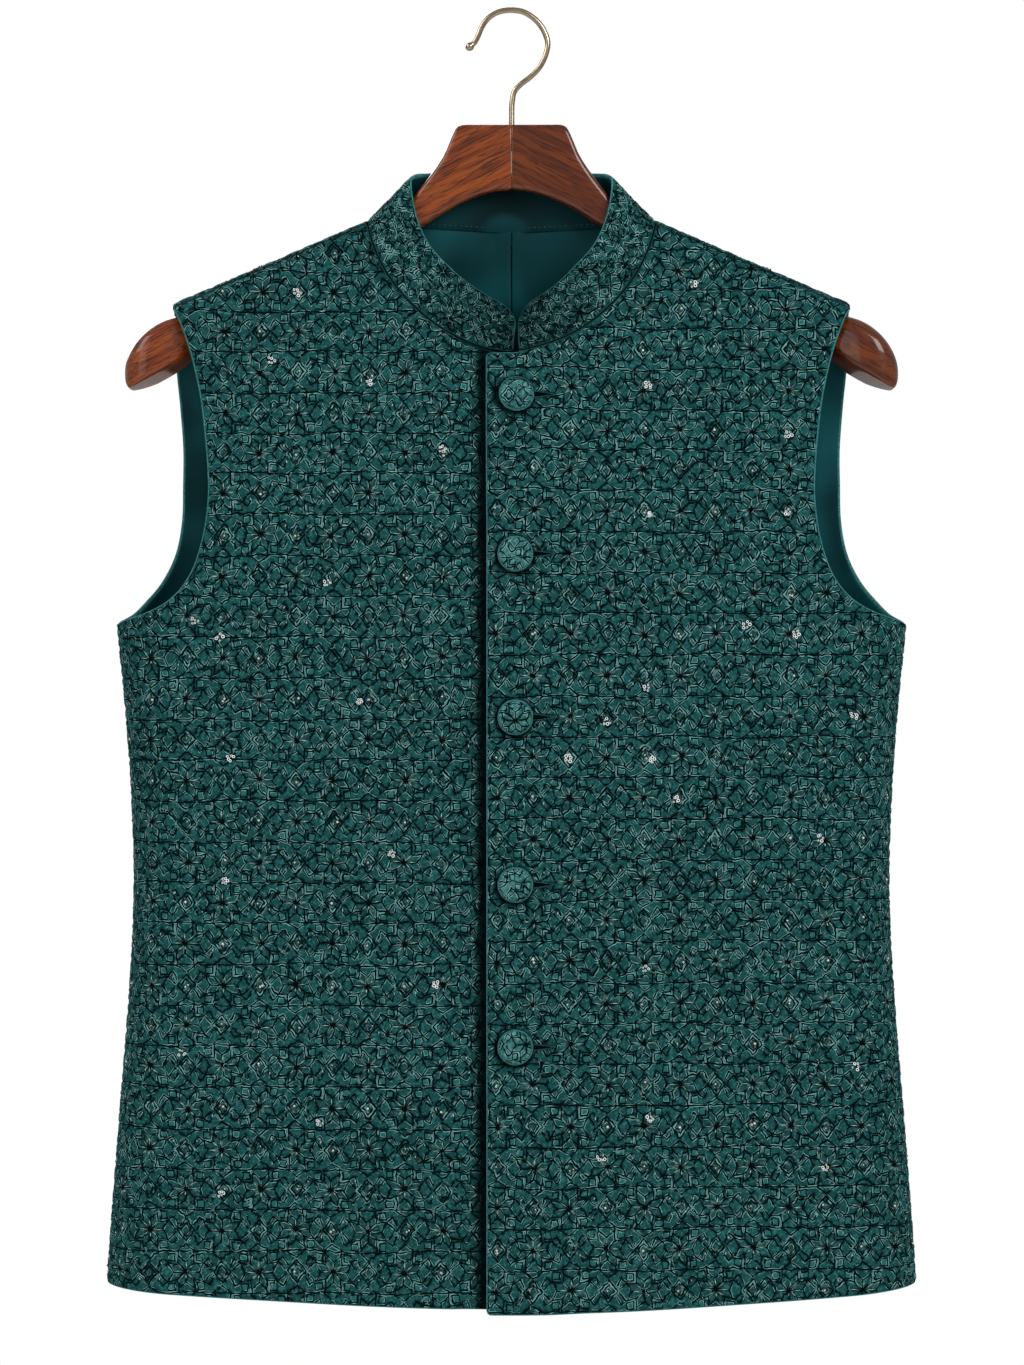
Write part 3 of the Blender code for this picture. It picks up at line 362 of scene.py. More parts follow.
def read_table(rows, key, wanted, column):
    """Read one column of a table between its rows, with no corner at a row."""
    keys = np.array([getattr(row, key) for row in rows])
    values = np.array([getattr(row, column) for row in rows])
    if keys[0] > keys[-1]:
        keys, values = keys[::-1], values[::-1]
    wanted = np.clip(wanted, keys[0], keys[-1])
    slopes = np.gradient(values, keys)
    slopes[1:-1] = (values[2:] - values[:-2]) / (keys[2:] - keys[:-2])
    i = np.clip(np.searchsorted(keys, wanted, side="right") - 1, 0, len(keys) - 2)
    span = keys[i + 1] - keys[i]
    t = (wanted - keys[i]) / span
    start = values[i] * (1 + 2 * t) * (1 - t) ** 2 + slopes[i] * span * t * (1 - t) ** 2
    end = values[i + 1] * t * t * (3 - 2 * t) - slopes[i + 1] * span * t * t * (1 - t)
    return start + end


def curve_through(points, steps):
    """Return points on a smooth curve through the given ones, with steps to each span."""
    path = []
    for i in range(len(points) - 1):
        before = points[max(i - 1, 0)]
        start, end = points[i], points[i + 1]
        after = points[min(i + 2, len(points) - 1)]
        for k in range(steps):
            t = k / steps
            path.append(tuple(
                0.5 * (2 * b + (c - a) * t + (2 * a - 5 * b + 4 * c - d) * t * t
                       + (3 * b - a - 3 * c + d) * t ** 3)
                for a, b, c, d in zip(before, start, end, after)))
    path.append(tuple(points[-1]))
    return path


def unit(vectors):
    """Vectors of length 1 in the same directions."""
    return vectors / np.maximum(np.linalg.norm(vectors, axis=-1, keepdims=True), 1e-9)


# --- The form that carries the cloth ----------------------------------------------------------
def section_at(height):
    """Half width, side radius and crown of the outer cloth's inner face at a height."""
    half_width = read_table(SECTIONS, "height", height, "half_width") - WALL
    side_radius = read_table(SECTIONS, "height", height, "side_radius")
    return half_width, side_radius, read_table(SECTIONS, "height", height, "crown")


def ridge_at(x):
    """Height of the shoulder ridge's inner face, and its radius round the hanger."""
    lean = math.sqrt(1.0 + SHOULDER_SLOPE ** 2)
    height = NECK_POINT_Z - SHOULDER_SLOPE * (np.abs(x) - NECK_POINT_X) - WALL * lean
    flare = (np.abs(x) / SHOULDER_TIP_X) ** RIDGE_FLARE
    return height, RIDGE_RADIUS_IN + (RIDGE_RADIUS_OUT - RIDGE_RADIUS_IN) * flare


def side_seam(height):
    """How much cloth lies between the centre and the side seam."""
    half_width, side_radius, _ = section_at(height)
    return half_width - side_radius + side_radius * math.pi / 2


def fold_depth(side, across, height):
    """How far the folds draw the cloth in at a place."""
    total = np.zeros(np.broadcast(across, height).shape)
    for fold in FOLDS:
        if fold.side != side:
            continue
        along = np.clip((fold.top - height) / (fold.top - fold.bottom), 0.0, 1.0)
        middle = fold.across + fold.lean * (fold.top - height)
        off = (across - middle) / (fold.half_width * (FOLD_NARROW + FOLD_WIDENS * along))
        fade = ease(along / FOLD_FADE)
        if fold.bottom > FOLD_RUNS_OUT:
            fade = fade * ease((1.0 - along) / FOLD_FADE)
        total = total + fold.depth * fade * np.exp(-off * off)
    return total


def form_inner(side, across, up):
    """Places on the outer cloth's inner face; across and up are measured along the cloth."""
    across, up = np.broadcast_arrays(np.asarray(across, float), np.asarray(up, float))
    half_width, side_radius, crown = section_at(up)
    flat_half = half_width - side_radius
    reach_across = np.abs(across)
    turn = np.maximum(reach_across - flat_half, 0.0) / side_radius
    x = np.minimum(reach_across, flat_half) + side_radius * np.sin(turn)
    inward = np.cos(math.pi / 2 * np.minimum(reach_across / flat_half, 1.0))
    depth = side_radius + crown * inward ** 2
    ridge, radius = ridge_at(x)
    below = ridge - radius - up
    hung = radius + (depth - radius) * ease(below / OPENING_DROP)
    hung = hung - fold_depth(side, across, up) * ease(below / FOLD_CLEAR)
    over = np.maximum(-below, 0.0) / radius
    reach = np.where(below >= 0.0, hung, radius * np.cos(over))
    z = np.where(below >= 0.0, up, ridge - radius + radius * np.sin(over))
    forward = SWEEP * (x / SHOULDER_TIP_X) ** 2 * (1.0 - ease(below / OPENING_DROP))
    y = side * reach * np.cos(turn) - forward
    return np.stack([np.copysign(x, across), y, z], axis=-1)


def form_normal(side, across, up):
    """Outward direction of the form at places on the cloth."""
    step = 0.4
    along = form_inner(side, across + step, up) - form_inner(side, across - step, up)
    rise = form_inner(side, across, up + step) - form_inner(side, across, up - step)
    return unit(np.cross(along, rise) * -side)


def form_point(side, across, up, out):
    """Places at the given distances outside the outer cloth's inner face."""
    out = np.asarray(out, float)
    return form_inner(side, across, up) + form_normal(side, across, up) * out[..., None]


def on_form(read, side, across, up):
    """What form_inner or form_normal reads at places that are each on the front or the back."""
    return np.where(side[:, None] == FRONT, read(FRONT, across, up), read(BACK, across, up))


def flat_place(x, z):
    """Where a point seen from the front or back lies on the flat cloth."""
    half_width, side_radius, _ = section_at(z)
    flat_half = half_width - side_radius
    across = abs(x)
    if across > flat_half:
        turn = math.asin(min((across - flat_half) / side_radius, 1.0))
        across = flat_half + side_radius * turn
    ridge, radius = ridge_at(x)
    above = z - (ridge - radius)
    up = z if above <= 0 else z - above + radius * math.asin(min(above / radius, 1.0))
    return math.copysign(across, x), up


def shoulder_seam(side, x):
    """The shoulder seam's place on the flat cloth of the front or the back."""
    ridge, radius = ridge_at(x)
    turn = math.radians(FRONT_TURN if side == FRONT else BACK_TURN)
    return ridge - radius + radius * turn


def lap_lift(across):
    """How far the left front stands out over the right one."""
    return LAP_LIFT * ease((LAP_LIFT_FROM - across) / (LAP_LIFT_FROM - LAP_LIFT_FULL))


# --- Edges of the flat patterns ---------------------------------------------------------------
def arc(centre, radius, start, end):
    """Points on an arc, its angles in degrees."""
    turns = [math.radians(start + (end - start) * k / ARC_STEPS) for k in range(ARC_STEPS + 1)]
    return [(centre[0] + radius * math.cos(t), centre[1] + radius * math.sin(t)) for t in turns]


def neck_curve(side, start_x, steps):
    """The neck seam from near the centre out to the shoulder seam."""
    points = []
    low = math.asin(min(max(start_x, 0.0) / NECK_POINT_X, 1.0) ** (NECK_ROUNDNESS / 2))
    for k in range(steps):
        turn = low + (math.pi / 2 - low) * k / steps
        x = NECK_POINT_X * math.sin(turn) ** (2 / NECK_ROUNDNESS)
        if side == FRONT:
            z = NECK_POINT_Z - NECK_DROP * math.cos(turn) ** (2 / NECK_ROUNDNESS)
        else:
            z = NECK_POINT_Z - BACK_NECK_DIP * (1.0 - x / NECK_POINT_X)
        points.append(flat_place(x, z))
    points.append((NECK_POINT_X, shoulder_seam(side, NECK_POINT_X) - GAP / 2))
    return points


def armhole_curve(side, inset=0.0):
    """The armhole from the side seam up to the shoulder tip."""
    edges = FRONT_ARMHOLE if side == FRONT else BACK_ARMHOLE
    points = [(float(side_seam(UNDERARM_Z)) - GAP / 2, UNDERARM_Z - inset)]
    points += [flat_place(x - inset, z - inset * 0.5) for x, z in edges]
    points.append((SHOULDER_TIP_X - inset, shoulder_seam(side, SHOULDER_TIP_X) - GAP / 2))
    return curve_through(points, 8)


def shoulder_xs(tip_x):
    """Distances from the centre along the shoulder seam, from the neck point out."""
    return [NECK_POINT_X + (tip_x - NECK_POINT_X) * k / SHOULDER_STEPS
            for k in range(SHOULDER_STEPS + 1)]


def shoulder_line(side):
    """The shoulder seam from the neck point out to the tip."""
    return [(x, shoulder_seam(side, x) - GAP / 2) for x in shoulder_xs(SHOULDER_TIP_X)]


def hem_line(centre_z, start, end, steps=60):
    """The hem from start out to end."""
    half_width = section_at(SIDE_HEM_Z)[0]
    points = []
    for k in range(steps + 1):
        across = start + (end - start) * k / steps
        x = form_inner(FRONT, across, SIDE_HEM_Z)[0]
        bend = abs(x / half_width) ** HEM_BEND
        points.append((across, centre_z + (SIDE_HEM_Z - centre_z) * bend))
    return points


def side_line(low):
    """The side seam from a height up to the underarm."""
    ups = [low + (UNDERARM_Z - low) * k / SIDE_SEAM_STEPS for k in range(SIDE_SEAM_STEPS + 1)]
    return [(float(side_seam(up)) - GAP / 2, up) for up in ups]


# --- Sheets of points -------------------------------------------------------------------------
class Side:
    """One edge of a sheet: a flat curve with its length, and which side of it the cloth is on."""

    def __init__(self, points, inward):
        dense = [points[0]]
        for start, end in zip(points, points[1:]):
            parts = max(math.ceil(math.dist(start, end) / SIDE_STEP), 1)
            dense += [tuple(a + (b - a) * k / parts for a, b in zip(start, end))
                      for k in range(1, parts + 1)]
        self.points = np.array(dense, float)
        steps = np.linalg.norm(np.diff(self.points, axis=0), axis=1)
        self.lengths = np.concatenate([[0.0], np.cumsum(steps)])
        self.total = self.lengths[-1]
        self.inward = inward

    def length_at(self, x, y):
        """How far along the curve its nearest point to a place is."""
        return self.lengths[np.argmin(np.hypot(*(self.points - (x, y)).T))]

    def spots(self, lengths):
        """Places at the given lengths along it."""
        return np.stack([np.interp(lengths, self.lengths, self.points[:, k]) for k in (0, 1)], -1)

    def inset(self, shares, distance):
        """Places at the given shares of the curve, moved into the cloth."""
        lengths = distance + shares * (self.total - 2.0 * distance)
        run = unit(self.spots(np.minimum(lengths + SIDE_REACH, self.total))
                   - self.spots(np.maximum(lengths - SIDE_REACH, 0.0)))
        normal = np.stack([-run[:, 1], run[:, 0]], -1) * self.inward
        return self.spots(lengths) + normal * distance


def rolled_edge(wall):
    """How far in and out each ring of points lies, where an edge is folded to the inside."""
    roll = wall / 2
    rings = [(roll, wall)]
    for turn in ROLL_TURNS:
        turn = math.radians(turn)
        rings.append((roll * (1.0 - math.sin(turn)), roll * (1.0 + math.cos(turn))))
    return rings + [(roll + TURN_IN / 2, 0.0), (roll + TURN_IN, 0.0)]


class Sheet:
    """Flat places of a sheet's points: a lofted middle, inside rings that fold its edges in."""

    def __init__(self, edges, marks, cell_across, cell_up, bend, rings=None):
        bottom, right, top, left = edges
        self.sides = [Side(bottom, 1), Side(right, 1), Side(top, -1), Side(left, -1)]
        bottom, right, top, left = self.sides
        marks = [(left.length_at(*a), right.length_at(*b)) for a, b in marks]
        marks = [(0.0, 0.0), *marks, (left.total, right.total)]
        stations = [np.zeros((1, 2))]
        for before, after in zip(marks, marks[1:]):
            steps = max(math.ceil(max(np.subtract(after, before)) / cell_up), 1)
            shares = np.arange(1, steps + 1)[:, None] / steps
            stations.append(before + shares * np.subtract(after, before))
        stations = np.concatenate(stations)
        self.up_shares = stations / (left.total, right.total)
        width = max(bottom.total, top.points[:, 0].max() - top.points[:, 0].min())
        self.columns = math.ceil(width / cell_across)
        self.rows = len(stations) - 1
        self.across_shares = np.linspace(0.0, 1.0, self.columns + 1)
        top_x = np.linspace(top.points[0, 0], top.points[-1, 0], self.columns + 1)
        self.top_shares = np.interp(top_x, top.points[:, 0], top.lengths) / top.total
        self.rings = rings or rolled_edge(WALL)
        self.bend = bend
        self.lay_out()

    def edge(self, distance):
        """The sheet's four edges, moved in by a distance, with their corners joined."""
        bottom, right, top, left = self.sides
        low = bottom.inset(self.across_shares, distance)
        high = top.inset(self.top_shares, distance)
        far = right.inset(self.up_shares[:, 1], distance)
        near = left.inset(self.up_shares[:, 0], distance)
        for first, second, i, j in ((low, near, 0, 0), (low, far, -1, 0),
                                    (high, near, 0, -1), (high, far, -1, -1)):
            corner = (first[i] + second[j]) / 2
            first[i] = corner
            second[j] = corner
        return low, far, high, near

    def lay_out(self):
        """Work out every point's flat place, how far out it is, and how near an edge."""
        low, far, high, near = self.edge(self.rings[0][0])
        share = self.across_shares[:, None, None]
        middle = near[None] * (1.0 - share) + far[None] * share
        low_gap = low - (low[0] * (1.0 - share[:, 0]) + low[-1] * share[:, 0])
        high_gap = high - (high[0] * (1.0 - share[:, 0]) + high[-1] * share[:, 0])
        heights = middle[..., 1]
        low_weight = ease(1.0 - (heights - heights[:, :1]) / self.bend)
        high_weight = ease(1.0 - (heights[:, -1:] - heights) / self.bend)
        middle = (middle + low_gap[:, None] * low_weight[..., None]
                  + high_gap[:, None] * high_weight[..., None])
        reach = len(self.rings) - 1
        i, j = np.meshgrid(np.arange(self.columns + 1 + 2 * reach),
                           np.arange(self.rows + 1 + 2 * reach), indexing="ij")
        ring = np.maximum.reduce([reach - i, i - reach - self.columns,
                                  reach - j, j - reach - self.rows, np.zeros_like(i)])
        column = np.clip(i - reach, 0, self.columns)
        row = np.clip(j - reach, 0, self.rows)
        self.flat = middle[column, row]
        self.out = np.full(i.shape, self.rings[0][1])
        gaps = [np.linalg.norm(middle - edge, axis=-1) for edge in
                (near[None], far[None], low[:, None], high[:, None])]
        self.edge_gap = (np.minimum.reduce(gaps) + self.rings[0][0])[column, row]
        for m in range(1, reach + 1):
            distance, out = self.rings[m]
            low, far, high, near = self.edge(distance)
            for edge, chosen, index in (
                    (low, row == 0, column), (high, row == self.rows, column),
                    (near, column == 0, row), (far, column == self.columns, row)):
                here = (ring == m) & chosen
                self.flat[here] = edge[index[here]]
            self.out[ring == m] = out
            self.edge_gap[ring == m] = 0.0
        self.ring = ring

    def cut(self):
        """The width and length it is cut to, with what is turned in, and its area, in metres."""
        bottom, right, top, left = self.sides
        outline = np.concatenate([bottom.points, right.points, top.points[::-1],
                                  left.points[::-1]])
        x, y = outline.T * MM
        turned = self.rings[-1][0] * MM
        area = abs(np.dot(x, np.roll(y, 1)) - np.dot(y, np.roll(x, 1))) / 2
        area += turned * MM * sum(side.total for side in self.sides)
        return (float(np.ptp(x)) + 2 * turned, float(np.ptp(y)) + 2 * turned), float(area)


def make_sheet(name, sheet, place, pattern, material, flipped, shade=None):
    """Make a sheet's mesh: place(flat, out, edge_gap) gives its points, pattern(flat) its UV
    map, and shade(flat) how much painted shade its colour takes at each place."""
    bm = bmesh.new()
    count_across, count_up = (size - 1 for size in sheet.ring.shape)
    bmesh.ops.create_grid(bm, x_segments=count_across, y_segments=count_up, size=0.5)
    mesh = bpy.data.meshes.new(name)
    bm.to_mesh(mesh)
    corners = np.empty(len(mesh.vertices) * 3)
    mesh.vertices.foreach_get("co", corners)
    i = np.rint((corners[0::3] + 0.5) * count_across).astype(int)
    j = np.rint((corners[1::3] + 0.5) * count_up).astype(int)
    flat = sheet.flat[i, j]
    spots = place(flat, sheet.out[i, j], sheet.edge_gap[i, j])
    mesh.vertices.foreach_set("co", (spots * MM).ravel())
    near_edge = mesh.attributes.new("edge_gap", "FLOAT", "POINT")
    near_edge.data.foreach_set("value", sheet.edge_gap[i, j].astype(np.float32))
    if shade:
        painted_shade = mesh.attributes.new("painted_shade", "FLOAT", "POINT")
        painted_shade.data.foreach_set("value", shade(flat).astype(np.float32))
    loops = np.empty(len(mesh.loops), int)
    mesh.loops.foreach_get("vertex_index", loops)
    layer = mesh.uv_layers.new(name="cloth")
    layer.uv.foreach_set("vector", pattern(flat)[loops].astype(np.float32).ravel())
    bm.clear()
    bm.from_mesh(mesh)
    bmesh.ops.remove_doubles(bm, verts=bm.verts, dist=1e-6)
    if flipped:
        bmesh.ops.reverse_faces(bm, faces=bm.faces)
    bm.to_mesh(mesh)
    bm.free()
    mesh.shade_smooth()
    return add_piece(name, mesh, material)


def add_piece(name, mesh, material):
    """Make an object of a mesh and let it ride on the jacket's one body."""
    mesh.materials.append(material)
    piece = bpy.data.objects.new(name, mesh)
    scene.collection.objects.link(piece)
    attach(piece, "root")
    return piece


# --- Quilting: one block in two, a star; the others, a diamond --------------------------------
# Corners of the stitched lines in one quarter of a block, from its middle.
STAR_LINES = [
    ((0.0, 0.0), (8.4, 0.0)), ((0.0, 0.0), (5.2, 4.8)), ((0.0, 0.0), (0.0, 6.4)),
    ((8.4, 0.0), (11.7, 6.0)), ((11.7, 6.0), (5.2, 4.8)), ((5.2, 4.8), (5.0, 10.8)),
    ((5.0, 10.8), (0.0, 6.4)), ((5.0, 10.8), (5.0, 13.1)),
]
STAR_SQUARE = (9.3, 9.4, 2.2, 2.2)       # middle and half sizes of the little square
DIAMOND_LINES = [
    ((5.7, 0.0), (0.0, 7.0)), ((3.4, 0.0), (0.0, 4.3)), ((11.7, 6.2), (7.0, 1.2)),
    ((11.7, 6.2), (8.2, 8.6)), ((8.2, 8.6), (5.6, 3.6)), ((0.0, 8.4), (6.2, 13.1)),
]
BlockPhase = namedtuple("BlockPhase", "across up odd")   # where a panel's blocks start
FAR_OFF = 50.0             # added to a star's distances inside a diamond, so nothing is near
PHASES = {
    "front_left": BlockPhase(14.1, 15.0, 1),
    "front_right": BlockPhase(-2.4, 0.0, 0),
    "back": BlockPhase(0.0, 0.0, 0),
    "collar": BlockPhase(4.0, 9.0, 0),
}
WANDER = 1.1               # the quilted lines wander off their grid by this much


def wander(flat, sign=1.0):
    """Move flat places as an uneven hand would have quilted them, in slow uneven waves."""
    across, up = flat[..., 0], flat[..., 1]
    sideways = (np.sin(across / 17.0 + 1.3 * np.sin(up / 23.0))
                + np.sin(up / 11.3 + across / 29.0))
    upwards = (np.sin(up / 15.0 + 1.1 * np.sin(across / 19.0))
               + np.sin(across / 12.7 - up / 31.0))
    return flat + sign * WANDER * 0.5 * np.stack([sideways, upwards], -1)


def blocks_at(name, flat, scale=1.0):
    """Where flat places lie in the pattern, counted in blocks; stars are on even ones."""
    phase = PHASES[name]
    moved = (wander(flat) - (phase.across, phase.up)) / (BLOCK_WIDE * scale, BLOCK_TALL * scale)
    return moved + (0.0, phase.odd)


def line_gap(x, y, line):
    """Distance from places to one stitched line."""
    (x0, y0), (x1, y1) = line
    dx, dy = x1 - x0, y1 - y0
    t = np.clip(((x - x0) * dx + (y - y0) * dy) / (dx * dx + dy * dy), 0.0, 1.0)
    return np.hypot(x - x0 - t * dx, y - y0 - t * dy)


def puff(blocks):
    """How far the padded cells between the stitched lines stand out, from 0 to 1."""
    cell = np.floor(blocks + 0.5)
    x = np.abs(blocks[..., 0] - cell[..., 0]) * BLOCK_WIDE
    y = np.abs(blocks[..., 1] - cell[..., 1]) * BLOCK_TALL
    star = (cell.sum(-1) % 2) == 0
    row_gap = BLOCK_TALL / 2 - y
    middle_x, middle_y, half_x, half_y = STAR_SQUARE
    square = np.abs(np.maximum(np.abs(x - middle_x) - half_x, np.abs(y - middle_y) - half_y))
    star_gap = np.minimum.reduce([line_gap(x, y, line) for line in STAR_LINES] + [square])
    diamond_gap = np.minimum.reduce([line_gap(x, y, line) for line in DIAMOND_LINES])
    gap = np.minimum(np.where(star, star_gap, diamond_gap), row_gap)
    return ease(gap / PUFF_WIDTH)


def raised(name, flat, out, edge_gap, wall=WALL, scale=1.0, height=PUFF):
    """The wall's points, the outer ones raised by the quilting but plain near an edge."""
    fade = ease(edge_gap / PLAIN_EDGE - PLAIN_SHARE)
    return np.where(out >= wall, out + puff(blocks_at(name, flat, scale)) * height * fade, out)


# --- Materials --------------------------------------------------------------------------------
# How fine each pattern is: its features lie this many to the metre, and the comments give the
# size that each stands for.  What would be too fine to show is drawn coarser than it is.
CLOUD_SCALE = 55.0         # the pile's broad light and dark patches, 18 mm
NAP_SCALE = 170.0          # smaller patches in them, 6 mm
PILE_SCALE = 620.0         # tufts of pile, drawn at 1.6 mm; real ones are finer
BROKEN_SCALE = 230.0       # the painted highlight beside a stitched line breaks up every 4 mm
WAVER_SCALE = 5.5          # to the block, not the metre: the stitched lines waver every 4 mm
WAVER = (0.11, 0.10, 0.0)                # by this much of a block, from side to side
SWAY_SCALE = 17.0          # slack in the satin and its painted sheen, 59 mm
SLUB_SCALE = 900.0         # thick places in its yarn, 1.1 mm
TWILL_SCALE = 420.0        # its diagonal lines, drawn 1.1 mm apart; real ones are finer
GRAIN_SCALE = (9.0, 90.0, 190.0)         # the wood's streaks, 110 mm long and 5 mm wide
PORE_SCALE = (75.0, 600.0, 1100.0)       # its pores, drawn 13 x 0.9 mm; real ones are finer
PLATING_SCALE = 260.0      # clouds in the wire's plating, 4 mm
MOTTLE_SCALE = 500.0       # mottle on the trimmings, drawn at 2 mm; real thread is finer
GROOVE = "020B0C"          # painted shade on the velvet in a stitched line,
PAINTED_SHADE = "030D0F"         # painted shade at seams, beside the lap, round buttons and buttonholes and at the collar's ends,
GLINT = "78AEAC"           # and painted highlight where the roll beside a line would catch the light
LIT_EDGE_PILE = ("2A6264", "4B8D8D")        # its unquilted rolled edge, paler for painted light on the roll, between the tufts and on them
SMOOTH = {"interpolation_type": "SMOOTHSTEP"}
COLORS = {"data_type": "RGBA"}


def hex_color(code):
    """An sRGB hex colour as linear numbers."""
    levels = [int(code[k:k + 2], 16) / 255.0 for k in (0, 2, 4)]
    return (*(v / 12.92 if v <= 0.04045 else ((v + 0.055) / 1.055) ** 2.4 for v in levels), 1.0)


def fill(tree, made, sockets):
    """Set a node's sockets from numbers, hex colours or other nodes' sockets."""
    for socket, value in sockets.items():
        if isinstance(value, bpy.types.NodeSocket):
            tree.links.new(value, made.inputs[socket])
        elif isinstance(value, str):
            made.inputs[socket].default_value = hex_color(value)
        else:
            made.inputs[socket].default_value = value


def node(tree, kind, sockets, output=0, **settings):
    """Add a node with its settings and links, and give one of its outputs."""
    made = tree.nodes.new("ShaderNode" + kind)
    for name, value in settings.items():
        setattr(made, name, value)
    fill(tree, made, sockets)
    return made.outputs[output]


def quilt_gaps(tree, blocks, scale):
    """Distances in millimetres to all the stitched lines, to the star's spokes and its middle,
    and to the little squares, inside which it is negative."""
    shifted = node(tree, "VectorMath", {0: blocks, 1: (0.5, 0.5, 0.0)}, operation="ADD")
    cell = node(tree, "VectorMath", {0: shifted}, operation="FLOOR")
    apart = node(tree, "VectorMath", {0: blocks, 1: cell}, operation="SUBTRACT")
    apart = node(tree, "VectorMath", {0: apart}, operation="ABSOLUTE")
    local = node(tree, "VectorMath", {0: apart, 1: (BLOCK_WIDE, BLOCK_TALL, 0.0)},
                 operation="MULTIPLY")

    def gap_to(line):
        start, end = (Vector((*point, 0.0)) for point in line)
        run = end - start
        offset = node(tree, "VectorMath", {0: local, 1: start}, operation="SUBTRACT")
        share = node(tree, "VectorMath", {0: offset, 1: run / run.length_squared}, "Value",
                     operation="DOT_PRODUCT")
        share = node(tree, "Math", {0: share, 1: 0.0}, operation="ADD", use_clamp=True)
        near = node(tree, "VectorMath", {0: run, "Scale": share}, operation="SCALE")
        return node(tree, "VectorMath", {0: offset, 1: near}, "Value", operation="DISTANCE")

    def least(gaps):
        smallest = gaps[0]
        for gap in gaps[1:]:
            smallest = node(tree, "Math", {0: smallest, 1: gap}, operation="MINIMUM")
        return smallest

    middle_x, middle_y, half_x, half_y = STAR_SQUARE
    off = node(tree, "VectorMath", {0: local, 1: (middle_x, middle_y, 0.0)},
               operation="SUBTRACT")
    off = node(tree, "VectorMath", {0: off}, operation="ABSOLUTE")
    off = node(tree, "VectorMath", {0: off, 1: (half_x, half_y, 0.0)}, operation="SUBTRACT")
    split = node(tree, "SeparateXYZ", {0: off}).node.outputs
    patch = node(tree, "Math", {0: split[0], 1: split[1]}, operation="MAXIMUM")
    square = node(tree, "Math", {0: patch}, operation="ABSOLUTE")
    spokes = least([gap_to(line) for line in STAR_LINES[:3]])
    star = least([spokes, square] + [gap_to(line) for line in STAR_LINES[3:]])
    diamond = least([gap_to(line) for line in DIAMOND_LINES])
    cells = node(tree, "SeparateXYZ", {0: cell}).node.outputs
    total = node(tree, "Math", {0: cells[0], 1: cells[1]}, operation="ADD")
    odd = node(tree, "Math", {0: total, 1: 2.0}, operation="FLOORED_MODULO")
    local_up = node(tree, "SeparateXYZ", {0: local}, 1)
    row = node(tree, "Math", {0: BLOCK_TALL / 2, 1: local_up}, operation="SUBTRACT")
    gap = node(tree, "Mix", {"Factor": odd, "A": star, "B": diamond})
    gap = node(tree, "Math", {0: gap, 1: row}, operation="MINIMUM")
    far = node(tree, "Math", {0: odd, 1: FAR_OFF}, operation="MULTIPLY")
    spokes = node(tree, "Math", {0: spokes, 1: far}, operation="ADD")
    middle = node(tree, "VectorMath", {0: local}, "Value", operation="LENGTH")
    middle = node(tree, "Math", {0: middle, 1: far}, operation="ADD")
    patch = node(tree, "Math", {0: patch, 1: far}, operation="ADD")
    return [node(tree, "Math", {0: value, 1: scale}, operation="MULTIPLY")
            for value in (gap, spokes, middle, patch)]


def new_material(name):
    """An empty node material with its tree, its shader and its Object coordinates."""
    material = bpy.data.materials.new(name)
    material.use_nodes = True
    tree = material.node_tree
    return material, tree, tree.nodes["Principled BSDF"], node(tree, "TexCoord", {}, "Object")


